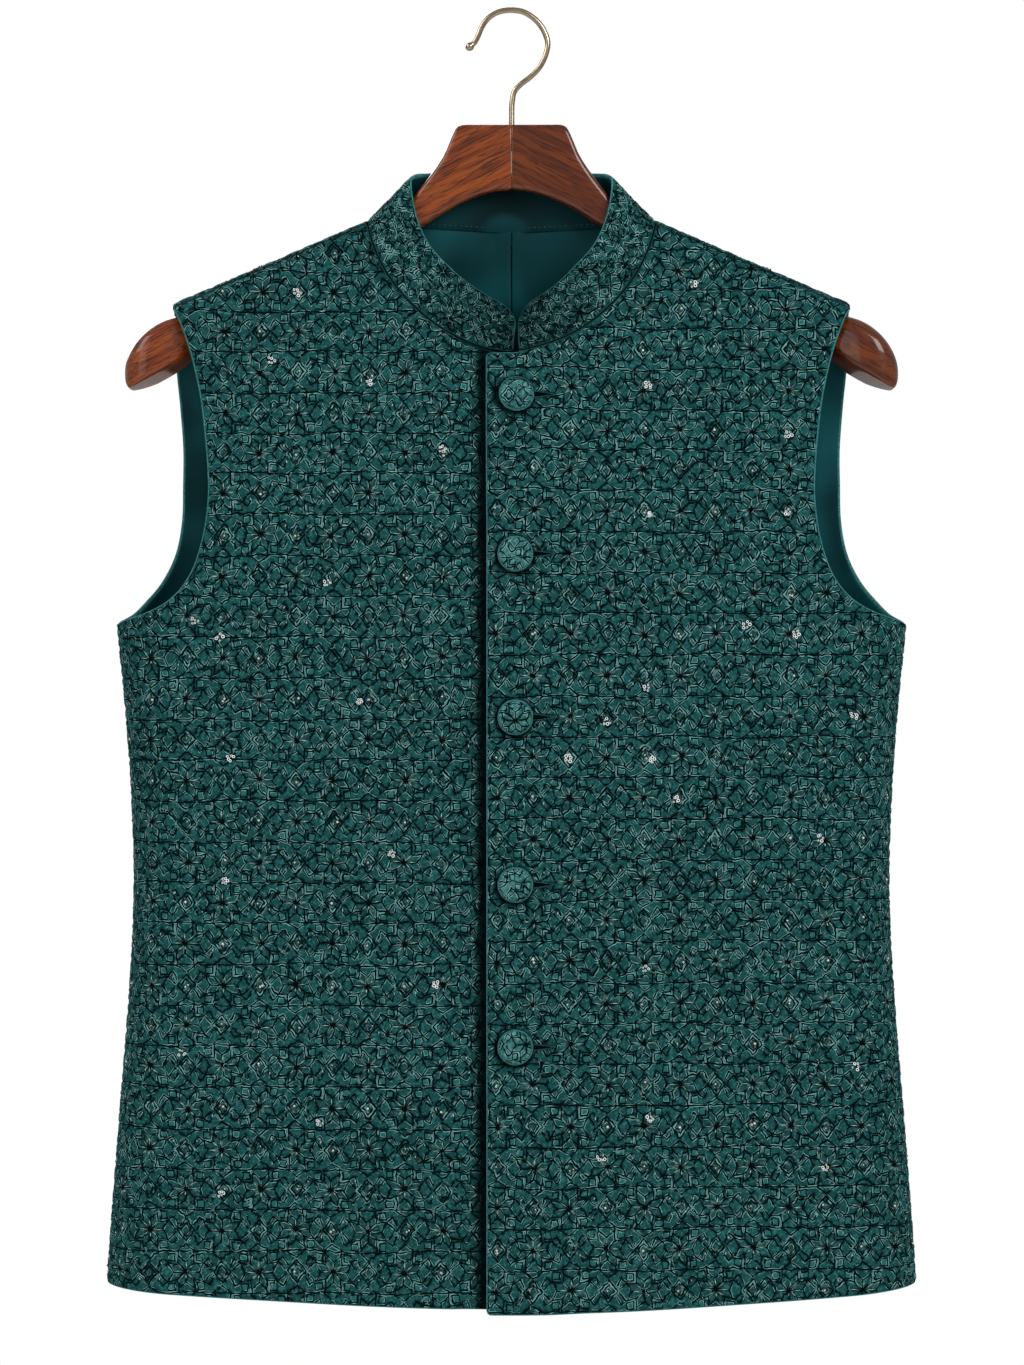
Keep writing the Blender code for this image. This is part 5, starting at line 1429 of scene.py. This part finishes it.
def make_hook():
    """The bent wire with its little ball."""
    route = np.array(curve_through(HOOK_ROUTE, 10))
    path = np.stack([route[:, 0], route[:, 0] * 0.0, route[:, 1]], -1)
    start, run = path[0], unit(path[1] - path[0])
    turns = np.linspace(0.0, BALL_ARC, 12)
    ball = [start + run * (BALL_RADIUS * (1.0 - math.cos(t)) - BALL_RADIUS) for t in turns]
    ball_radii = [max(BALL_RADIUS * math.sin(t), 0.0) for t in turns]
    clear = np.linalg.norm(ball[-1] - start) + BALL_CLEAR
    ahead = np.linalg.norm(path - start, axis=1) > clear
    ahead |= np.arange(len(path)) > BALL_POINTS
    path = np.concatenate([ball, path[ahead]])
    radii = np.concatenate([ball_radii, np.full(int(ahead.sum()), WIRE_RADIUS)])
    radii[len(ball):] = np.maximum(radii[len(ball):], WIRE_RADIUS)
    radii[:len(ball)] = np.where(turns > math.pi / 2, np.maximum(ball_radii, WIRE_RADIUS),
                                 ball_radii)
    radii = np.append(radii, 0.0)
    path = np.concatenate([path, path[-1:] + (0.0, 0.0, -0.01)])
    hook = make_tube("champagne_hook", path, radii, (0.0, 1.0, 0.0), 20, metal)
    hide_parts("hook")


def hanger_stations():
    """Every section of one hanger half, from the centre out to the tip."""
    stations = list(HANGER_HEAD)
    lean = math.sqrt(1.0 + SHOULDER_SLOPE ** 2)
    for x in HANGER_ARM_X:
        ridge, radius = ridge_at(x)
        flare = float(ease((x - HANGER_FLARE_X) / (HANGER_TIP[0].x - HANGER_FLARE_X)))
        bottom = HANGER_BOTTOM_Z - HANGER_BOTTOM_SLOPE * (x - HANGER_BOTTOM_X)
        stations.append(HangerStation(
            x, float(ridge - HANGER_CLEARANCE * lean), bottom - HANGER_FLARE_DROP * flare,
            float(radius - HANGER_CLEARANCE), HANGER_ARM_SQUARENESS))
    return stations + HANGER_TIP


def rounding(xs, start):
    """How much of its size the hanger's end keeps, from a place out to its tip."""
    share = np.clip((xs - start) / (HANGER_END_X - start), 0.0, 1.0)
    return np.sqrt(1.0 - share ** 2)


def smooth_column(xs, column):
    """One column of the hanger's stations, its corners eased out towards the tip."""
    rows = hanger_stations()
    exact = read_table(rows, "x", xs, column)
    eased = np.mean([read_table(rows, "x", xs + step, column)
                     for step in np.linspace(-HANGER_EASING, HANGER_EASING, 13)], axis=0)
    return exact + (eased - exact) * ease((xs - HANGER_ARM_X[2]) / HANGER_EASING_FADE)


def make_hanger_half(name, node_name, sign, material):
    """One carved half of the hanger, its end rounded over."""
    tip = np.sin(np.linspace(0.0, math.pi / 2, 44))
    tip_x = HANGER_ARM_X[-1]
    xs = np.concatenate([
        [HANGER_START_X], np.linspace(HANGER_START_X, HANGER_FINE_X, 60),
        np.linspace(HANGER_FINE_X + HANGER_SECTION_GAP, tip_x - HANGER_SECTION_GAP, 50),
        tip_x + (HANGER_END_X - tip_x) * tip])
    top, bottom, thick, square = (smooth_column(xs, column) for column
                                  in ("top", "bottom", "half_thick", "squareness"))
    top = HANGER_END_Z + (top - HANGER_END_Z) * rounding(xs, HANGER_ROUND_TOP)
    bottom = HANGER_END_Z + (bottom - HANGER_END_Z) * rounding(xs, HANGER_ROUND_BOTTOM)
    thick = thick * rounding(xs, HANGER_ROUND_FACE)
    middle, tall = (top + bottom) / 2, (top - bottom) / 2
    tall[0] = thick[0] = 0.0
    crisp = ease((xs - HANGER_EDGES_FROM) / (HANGER_EDGES_FULL - HANGER_EDGES_FROM))
    top_square = square + (HANGER_EDGE_TOP - square) * crisp
    bottom_square = square + (HANGER_EDGE_BOTTOM - square) * crisp
    flare = ease((xs - HANGER_FLARE_X) / (HANGER_TIP[0].x - HANGER_FLARE_X))
    fading = np.clip((HANGER_END_X - HANGER_UNTWIST_SHORT - xs) / HANGER_UNTWIST, 0.0, 1.0)
    forward = SWEEP * (xs / SHOULDER_TIP_X) ** 2
    bm = bmesh.new()
    bmesh.ops.create_grid(bm, x_segments=len(xs) - 1, y_segments=HANGER_SIDES, size=0.5)
    for vert in bm.verts:
        i = round((vert.co.x + 0.5) * (len(xs) - 1))
        turn = (vert.co.y + 0.5) * math.tau
        power = 2.0 / (top_square[i] if math.sin(turn) > 0.0 else bottom_square[i])
        side = math.copysign(abs(math.cos(turn)) ** power, math.cos(turn))
        rise = math.copysign(abs(math.sin(turn)) ** power, math.sin(turn))
        twist = HANGER_TWIST * flare[i] * fading[i]
        drop = twist * side * rise if rise < 0.0 else 0.0
        vert.co = Vector((xs[i] * sign, thick[i] * side - forward[i],
                          middle[i] + drop + tall[i] * rise)) * MM
    half = closed_mesh(name, bm, material)
    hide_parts(node_name)


make_hook()
make_hanger_half("lacquered_hanger_left", "hanger_left", 1, wood_left)
make_hanger_half("lacquered_hanger_right", "hanger_right", -1, wood_right)


# --- Buttons and buttonholes ------------------------------------------------------------------
def button_spot(height):
    """Where a button's back lies, and which way it faces."""
    spot = form_point(FRONT, CENTRE_X, height, WALL + BUTTON_OUT + lap_lift(CENTRE_X))
    return Vector(spot), Vector(form_normal(FRONT, CENTRE_X, height))


def make_button(number, height):
    """A domed button covered in the quilted cloth, with a thin pressed rim."""
    bm = bmesh.new()
    profile = [(0.0, 0.0), (9.5, 0.0), (BUTTON_RADIUS - 0.4, 0.3), (BUTTON_RADIUS, 0.9),
               (BUTTON_RADIUS - 0.1, 1.6)]
    profile += [((BUTTON_RADIUS - 0.5) * math.cos(t), 1.9 + (BUTTON_RISE - 0.6) * math.sin(t))
                for t in np.linspace(0.0, math.pi / 2, 15)]
    verts = [bm.verts.new((r, 0.0, z)) for r, z in profile]
    edges = [bm.edges.new(pair) for pair in zip(verts, verts[1:])]
    bmesh.ops.spin(bm, geom=verts + edges, cent=(0, 0, 0), axis=(0, 0, 1), angle=math.tau,
                   steps=48, use_merge=True)
    layer = bm.loops.layers.uv.new("cloth")
    shift = BUTTON_PATTERNS[number - 1]
    for face in bm.faces:
        for loop in face.loops:
            x, y, _ = loop.vert.co
            loop[layer].uv = (x / (BLOCK_WIDE * COLLAR_SCALE) + shift[0],
                              y / (BLOCK_TALL * COLLAR_SCALE) + shift[1])
    gap = bm.verts.layers.float.new("edge_gap")
    for vert in bm.verts:
        from_rim = BUTTON_RADIUS - BUTTON_RIM - math.hypot(vert.co.x, vert.co.y)
        vert[gap] = from_rim if vert.co.z > 1.0 else 0.0
    spot, facing = button_spot(height)
    bmesh.ops.rotate(bm, cent=(0, 0, 0), verts=bm.verts,
                     matrix=facing.to_track_quat("Z", "Y").to_matrix())
    bmesh.ops.translate(bm, vec=spot, verts=bm.verts)
    bmesh.ops.scale(bm, vec=(MM, MM, MM), verts=bm.verts)
    button = closed_mesh(f"covered_button_{number}", bm, button_velvet)
    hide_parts(f"button_{number}")


def on_left_front(across, up, out):
    """Places over the left front's quilting."""
    return form_point(FRONT, across, up, WALL + lap_lift(across) + out)


def make_buttonhole(number, height):
    """A corded slit beside a button: the cord in one piece and its dark mouth in another."""
    turns = np.linspace(0.0, math.tau, 61)[:-1]
    middle = (HOLE_START + HOLE_END) / 2
    half = (HOLE_END - HOLE_START) / 2
    across = middle + half * np.cos(turns)
    taper = 1.0 - HOLE_TAPER * (1.0 + np.cos(turns)) / 2
    up = height + HOLE_OPEN * taper * np.sin(turns)
    cord = on_left_front(across, up, PUFF + CORD_OUT)
    cord = np.concatenate([cord, cord[:1]])
    normal = form_normal(FRONT, CENTRE_X, height)
    rope = make_tube(f"buttonhole_cord_{number}", cord, np.full(len(cord), CORD_RADIUS), normal,
                     8, cord_velvet)
    bm = bmesh.new()
    bmesh.ops.create_grid(bm, x_segments=16, y_segments=3, size=1.0)
    for vert in bm.verts:
        turn = 0.98 * vert.co.x * math.pi / 2
        share = (1.0 + math.sin(turn)) / 2
        across = middle + (half - SLIT_INSIDE) * math.sin(turn)
        wide = (HOLE_OPEN - SLIT_INSIDE) * (1.0 - HOLE_TAPER * share) * math.cos(turn)
        vert.co = on_left_front(across, height + wide * vert.co.y, PUFF + SLIT_OUT)
    solid = bmesh.ops.extrude_face_region(bm, geom=bm.faces[:], use_keep_orig=True)
    raised_verts = [part for part in solid["geom"] if isinstance(part, bmesh.types.BMVert)]
    bmesh.ops.translate(bm, vec=Vector(normal) * SLIT_THICK, verts=raised_verts)
    bmesh.ops.scale(bm, vec=(MM, MM, MM), verts=bm.verts)
    mouth = closed_mesh(f"buttonhole_slit_{number}", bm, slit_shade)


def make_seam_thread(name, sign):
    """The thread that closes a side seam, sunk between the two rolled edges."""
    ups = np.linspace(SIDE_HEM_Z + SEAM_THREAD_SHORT, UNDERARM_Z - SEAM_THREAD_SHORT, 90)
    path = form_point(FRONT, sign * side_seam(ups), ups, np.full(len(ups), WALL / 2))
    radii = rounded(path, SEAM_THREAD_RADIUS, 2.0 * SEAM_THREAD_RADIUS)
    piece = make_tube(name, path, radii, (0.0, 1.0, 0.0), 6, seam_thread)


for number, height in enumerate(BUTTON_HEIGHTS, start=1):
    make_button(number, height)
    make_buttonhole(number, height)
make_seam_thread("seam_thread_left", 1)
make_seam_thread("seam_thread_right", -1)


# --- Embroidery and beads ---------------------------------------------------------------------
def repeated(name, template, centres, frames, material):
    """One piece of many copies of a small shape, each with its own middle and axes."""
    source = bpy.data.meshes.new(name)
    template.to_mesh(source)
    template.free()
    shape = np.empty(len(source.vertices) * 3)
    source.vertices.foreach_get("co", shape)
    shape = shape.reshape(-1, 3)
    stamp = bpy.data.objects.new(name, source)
    scene.collection.objects.link(stamp)
    array = stamp.modifiers.new("copies", "ARRAY")
    array.count = len(centres)
    array.use_relative_offset = False
    graph = bpy.context.evaluated_depsgraph_get()
    mesh = bpy.data.meshes.new_from_object(stamp.evaluated_get(graph))
    bpy.data.objects.remove(stamp)
    bpy.data.meshes.remove(source)
    spots = centres[:, None] + np.einsum("vk,nkj->nvj", shape, frames)
    mesh.vertices.foreach_set("co", (spots * MM).ravel())
    mesh.name = name
    mesh.update()
    mesh.shade_smooth()
    return add_piece(name, mesh, material)


def spindle():
    """A stitch's shape: a thread, thickest in its middle, with its ends drawn in."""
    bm = bmesh.new()
    bmesh.ops.create_uvsphere(bm, u_segments=4, v_segments=2, radius=1.0)
    return bm


def bead():
    """A small round bead."""
    bm = bmesh.new()
    bmesh.ops.create_icosphere(bm, subdivisions=1, radius=1.0)
    return bm


def ring():
    """A cupped sequin: a flat ring with a hole."""
    bm = bmesh.new()
    bmesh.ops.create_grid(bm, x_segments=14, y_segments=6, size=0.5)
    for vert in bm.verts:
        turn, tube = (vert.co.x + 0.5) * math.tau, (vert.co.y + 0.5) * math.tau
        r = 0.76 + 0.24 * math.cos(tube)
        vert.co = (r * math.cos(turn), r * math.sin(turn), 0.16 * math.sin(tube))
    bmesh.ops.remove_doubles(bm, verts=bm.verts, dist=1e-4)
    bmesh.ops.recalc_face_normals(bm, faces=bm.faces)
    return bm


Panel = namedtuple("Panel", "name side sign edges")
PANELS = [Panel("front_left", FRONT, 1, left_edges), Panel("front_right", FRONT, -1, right_edges),
          Panel("back", BACK, 1, back_edges()[0])]


def inside_outline(edges, x, y, margin):
    """Whether places lie inside a panel's outline, at least margin from it."""
    bottom, right, top, left = edges
    outline = np.array(bottom + right + top[::-1] + left[::-1])
    before = np.roll(outline, 1, axis=0)
    within = np.zeros(x.shape, bool)
    near = np.full(x.shape, np.inf)
    for (x1, y1), (x0, y0) in zip(outline, before):
        if y0 != y1:
            crosses = ((y0 > y) != (y1 > y)) & (x < (x1 - x0) * (y - y0) / (y1 - y0) + x0)
            within ^= crosses
        if (x0, y0) != (x1, y1):
            near = np.minimum(near, line_gap(x, y, ((x0, y0), (x1, y1))))
    return within & (near > margin)


def block_middles(panel):
    """The middles of a panel's blocks on its grid, and whether each is a star."""
    phase = PHASES[panel.name]
    outline = np.array([point for edge in panel.edges for point in edge])
    low = np.floor((outline.min(0) - (phase.across, phase.up)) / (BLOCK_WIDE, BLOCK_TALL)) - 1
    high = np.ceil((outline.max(0) - (phase.across, phase.up)) / (BLOCK_WIDE, BLOCK_TALL)) + 1
    column, row = np.meshgrid(np.arange(low[0], high[0] + 1), np.arange(low[1], high[1] + 1))
    column, row = column.ravel(), row.ravel()
    x = column * BLOCK_WIDE + phase.across
    y = row * BLOCK_TALL + phase.up
    return x, y, (column + row + phase.odd) % 2 == 0


def on_panel(panel, x, y, out):
    """Places in a panel's pattern, carried onto its cloth, with the cloth's direction."""
    flat = wander(np.stack([x, y], -1), -1.0)
    across, up = flat.T
    if panel.side == FRONT:
        out = out + front_out(panel.sign, across)
    signed = across * panel.sign
    return form_point(panel.side, signed, up, out), form_normal(panel.side, signed, up)


def clear_of_buttons(panel, x, y):
    """Whether places on the left front are clear of its buttons and buttonholes."""
    clear = np.ones(x.shape, bool)
    if panel.name == "front_left":
        for height in BUTTON_HEIGHTS:
            for low, high, tall in (BUTTON_CLEAR, HOLE_CLEAR):
                clear &= ~((np.abs(y - height) < tall) & (x > low) & (x < high))
    elif panel.name == "front_right":
        clear &= x > LAP + LAP_CLEAR
    return clear


# Start, end and half width; how many are sewn; which way it repeats.
Stitch = namedtuple("Stitch", "start end half_width chance flips")
STAR_STITCHES = [Stitch(*row) for row in (
    ((1.6, 0.0), (8.4, 0.3), 0.26, 0.92, "x"),
    ((0.0, 1.7), (0.0, 6.8), 0.32, 0.92, ""),
    ((0.0, -1.8), (0.0, -4.6), 0.36, 0.75, ""),
    ((1.3, 1.2), (5.6, 5.3), 0.22, 0.85, "x"),
    ((1.2, -1.1), (4.6, -4.4), 0.26, 0.90, "x"),
    ((6.7, 7.8), (6.9, 11.2), 0.20, 0.35, "xy"),
    ((11.6, 8.0), (11.4, 10.8), 0.20, 0.30, "xy"),
)]
DIAMOND_STITCHES = [Stitch(*row) for row in (
    ((7.3, 6.7), (8.1, 4.5), 0.38, 0.45, "x"),
    ((6.5, -3.0), (6.4, -5.4), 0.40, 0.45, "x"),
    ((0.7, 8.4), (4.9, 4.4), 0.16, 0.40, "x"),
    ((0.9, -8.2), (4.6, -4.6), 0.16, 0.30, "x"),
    ((0.4, 3.6), (2.8, 0.7), 0.22, 0.55, "xy"),
)]


def stitches_in(panel, draw):
    """The two ends and half width of every embroidered stitch of a panel, in its pattern."""
    x, y, star = block_middles(panel)
    found = []
    for table, chosen in ((STAR_STITCHES, star), (DIAMOND_STITCHES, ~star)):
        for stitch in table:
            for flip_x in (1.0, -1.0) if "x" in stitch.flips else (1.0,):
                for flip_y in (1.0, -1.0) if "y" in stitch.flips else (1.0,):
                    flip = np.array([flip_x, flip_y])
                    shape = (int(chosen.sum()), 2)
                    middle = np.stack([x[chosen], y[chosen]], -1)
                    start, end = (middle + flip * point + draw.normal(0.0, stray, shape)
                                  for point, stray in zip(stitch[:2], STITCH_STRAY))
                    width = stitch.half_width * draw.uniform(*STITCH_WIDTHS, shape[0])
                    kept = draw.random(shape[0]) < stitch.chance
                    found.append(np.column_stack([start, end, width])[kept])
    found = np.concatenate(found)
    middle_x, middle_y = (found[:, 0] + found[:, 2]) / 2, (found[:, 1] + found[:, 3]) / 2
    kept = inside_outline(panel.edges, middle_x, middle_y, STITCH_EDGE)
    return found[kept & clear_of_buttons(panel, middle_x, middle_y)]


def sew(name, place, stitches, material):
    """Stitches as one piece; place(x, y) gives points on the cloth and the way it faces."""
    x0, y0, x1, y1, width = stitches.T
    start, facing = place(x0, y0)
    end, _ = place(x1, y1)
    middle, _ = place((x0 + x1) / 2, (y0 + y1) / 2)
    along = (end - start) / 2
    side = unit(np.cross(facing, along)) * width[:, None]
    frames = np.stack([side, unit(np.cross(along, side)) * width[:, None], along], 1)
    repeated(name, spindle(), middle, frames, material)


def curls(draw, x, y, thick):
    """Three short stitches round a part of a circle at each place."""
    radius = draw.uniform(*CURL_RADII, x.size)
    begin = draw.uniform(0.0, math.tau, x.size)
    step = draw.uniform(0.45, 0.95, x.size) * draw.choice([-1.0, 1.0], x.size)
    width = thick * draw.uniform(0.6, 1.15, x.size)
    rows = []
    for k, share in enumerate((0.7, 1.0, 0.7)):
        first, last = begin + (k - 0.08) * step, begin + (k + 1.08) * step
        rows.append([x + radius * np.cos(first), y + radius * np.sin(first),
                     x + radius * np.cos(last), y + radius * np.sin(last), width * share])
    return np.concatenate([np.array(row).T for row in rows])


def scattered(draw, low, high, apart):
    """Places on a loose grid between two corners."""
    x, y = np.meshgrid(np.arange(low[0], high[0], apart), np.arange(low[1], high[1], apart))
    return (x.ravel() + draw.uniform(-0.45, 0.45, x.size) * apart,
            y.ravel() + draw.uniform(-0.45, 0.45, x.size) * apart)


def make_stitches(panel, draw):
    """All the embroidered stitches of a panel, and loose curls between them."""
    outline = np.array([point for edge in panel.edges for point in edge])
    x, y = scattered(draw, outline.min(0), outline.max(0), CURLS_APART)
    kept = inside_outline(panel.edges, x, y, CURL_EDGE) & clear_of_buttons(panel, x, y)
    rows = np.concatenate([stitches_in(panel, draw), curls(draw, x[kept], y[kept], CURL_THICK)])
    sew(f"stitches_{panel.name}", lambda x, y: on_panel(panel, x, y, WALL + STITCH_OUT), rows,
        rayon)


def make_collar_stitches(band):
    """The collar's crowded curls, and the dark row that sews its lining down at the neck."""
    draw = np.random.default_rng(29)

    def on_band(out):
        def place(runs, rise):
            flat = np.stack([runs, rise], -1)
            spots = band.place(flat, np.full(len(runs), out))
            further = band.place(flat, np.full(len(runs), out + 1.0))
            return spots, unit(further - spots)
        return place

    x, y = scattered(draw, COLLAR_CURLS_FROM,
                     (band.runs[-1] - COLLAR_CURLS_FROM[0], float(band.length.max())),
                     COLLAR_CURLS_APART)
    top = np.interp(x, band.runs, band.length)
    corner = np.minimum(x, band.runs[-1] - x)
    kept = (y < top - COLLAR_CURL_EDGE) & (corner + top - y > COLLAR_CURL_CORNER)
    sew("stitches_collar", on_band(COLLAR_CLOTH + COLLAR_CURL_OUT),
        curls(draw, x[kept], y[kept], COLLAR_CURL_THICK), rayon)
    runs = np.arange(TOPSTITCH_SHORT, band.runs[-1] - TOPSTITCH_SHORT, TOPSTITCH_STEP)
    rise = np.full(runs.size, TOPSTITCH_RISE)
    rows = np.column_stack([runs, rise, runs + TOPSTITCH_STEP * TOPSTITCH_SHARE, rise,
                            np.full(runs.size, TOPSTITCH_THICK)])
    sew("topstitch_neck", on_band(-SATIN - TOPSTITCH_OUT), rows, topstitch)


Beads = namedtuple("Beads", "name material spread radii count chance out")
BEADS = [                  # the count is for each diamond, and the chance that one is sewn
    Beads("pearl_beads", pearl, 0.9, (0.4, 1.0), 2, 0.45, 0.7),
    Beads("glass_beads", dark_glass, 1.5, (0.6, 0.9), 3, 0.7, 0.6),
]


def scatter_beads(panel, draw, beads):
    """Small beads sewn round the middle of a panel's diamonds."""
    x, y, star = block_middles(panel)
    x, y = np.repeat(x[~star], beads.count), np.repeat(y[~star], beads.count)
    kept = draw.random(x.size) < beads.chance
    x, y = (places[kept] + draw.normal(0.0, beads.spread, kept.sum()) for places in (x, y))
    kept = inside_outline(panel.edges, x, y, BEAD_EDGE) & clear_of_buttons(panel, x, y)
    x, y = x[kept], y[kept]
    radius = draw.uniform(*beads.radii, x.size)
    centres, _ = on_panel(panel, x, y, WALL + beads.out)
    frames = np.eye(3) * radius[:, None, None]
    piece = repeated(f"{beads.name}_{panel.name}", bead(), centres, frames, beads.material)


def make_sequins():
    """The few cupped sequins that flash on the fronts."""
    draw = np.random.default_rng(17)
    centres, frames = [], []
    for x, z in SEQUINS:
        across, up = flat_place(x, z)
        sign = 1.0 if x > -LAP else -1.0
        for turn_by in range(SEQUIN_PARTS):
            angle = (turn_by + draw.uniform(-0.3, 0.3)) / SEQUIN_PARTS * math.tau
            off = np.array([math.cos(angle), math.sin(angle)]) * draw.uniform(*SEQUIN_OFF)
            spot_across, spot_up = across + off[0], up + off[1]
            lift = float(front_out(sign, spot_across * sign))
            normal = form_normal(FRONT, spot_across, spot_up)
            tilt = unit(normal + draw.normal(0.0, SEQUIN_TILT, 3))
            side = unit(np.cross(tilt, (0.0, 0.0, 1.0)))
            radius = draw.uniform(*SEQUIN_RADII)
            centres.append(form_point(FRONT, spot_across, spot_up,
                                      WALL + PUFF + SEQUIN_OUT + lift))
            frames.append(np.stack([side, np.cross(tilt, side), tilt]) * radius)
    piece = repeated("silver_sequins", ring(), np.array(centres), np.array(frames), foil)


for seed, panel in enumerate(PANELS):
    draw = np.random.default_rng(seed + 3)
    make_stitches(panel, draw)
    for beads in BEADS:
        scatter_beads(panel, draw, beads)
make_sequins()
make_collar_stitches(collar_band)

# --- Stage ------------------------------------------------------------------------------------
FLOOR_Z_M = -1.25
FLOOR_RADIUS_M = 2.2
LIGHTS_AIM_M = (0.0, 0.0, -0.45)
CAMERA_PLACE_M = (0.0003, -3.0, -0.435)
SENSOR_HEIGHT_MM = 36.0
LENS_MM = 121.77


def make_stage():
    """A pale floor, soft lights and the camera."""
    bm = bmesh.new()
    bmesh.ops.create_circle(bm, cap_ends=True, segments=64, radius=FLOOR_RADIUS_M)
    bmesh.ops.translate(bm, vec=(0.0, 0.0, FLOOR_Z_M), verts=bm.verts)
    mesh = bpy.data.meshes.new("floor")
    bm.to_mesh(mesh)
    bm.free()
    floor = bpy.data.objects.new("floor", mesh)
    scene.collection.objects.link(floor)
    # Matt paper: nearly white, it takes the soft shadow.
    mesh.materials.append(plain_material("pale_floor", "F4F3F1", 0.9, mottled=0.98))
    world = bpy.data.worlds.new("studio")
    scene.world = world
    world.use_nodes = True
    tree = world.node_tree
    backdrop = tree.nodes["Background"]
    fill(tree, backdrop, {"Color": "FFFFFF"})
    seen = node(tree, "LightPath", {}, "Is Camera Ray")
    strength = node(tree, "MapRange", {0: seen, 3: AMBIENT})
    fill(tree, backdrop, {"Strength": strength})
    for name, place, size, power in LIGHTS:
        light = bpy.data.lights.new(name, "AREA")
        light.size = size
        light.energy = power
        lamp = bpy.data.objects.new(name, light)
        lamp.location = place
        aim = Vector(LIGHTS_AIM_M) - Vector(place)
        lamp.rotation_euler = aim.to_track_quat("-Z", "Y").to_euler()
        scene.collection.objects.link(lamp)
    camera = bpy.data.cameras.new("camera")
    camera.sensor_fit = "VERTICAL"
    camera.sensor_height = SENSOR_HEIGHT_MM
    camera.lens = LENS_MM
    eye = bpy.data.objects.new("camera", camera)
    eye.location = CAMERA_PLACE_M
    eye.rotation_euler = (math.radians(90.0), 0.0, 0.0)
    scene.collection.objects.link(eye)
    scene.camera = eye
    scene.view_settings.view_transform = "Standard"


make_stage()
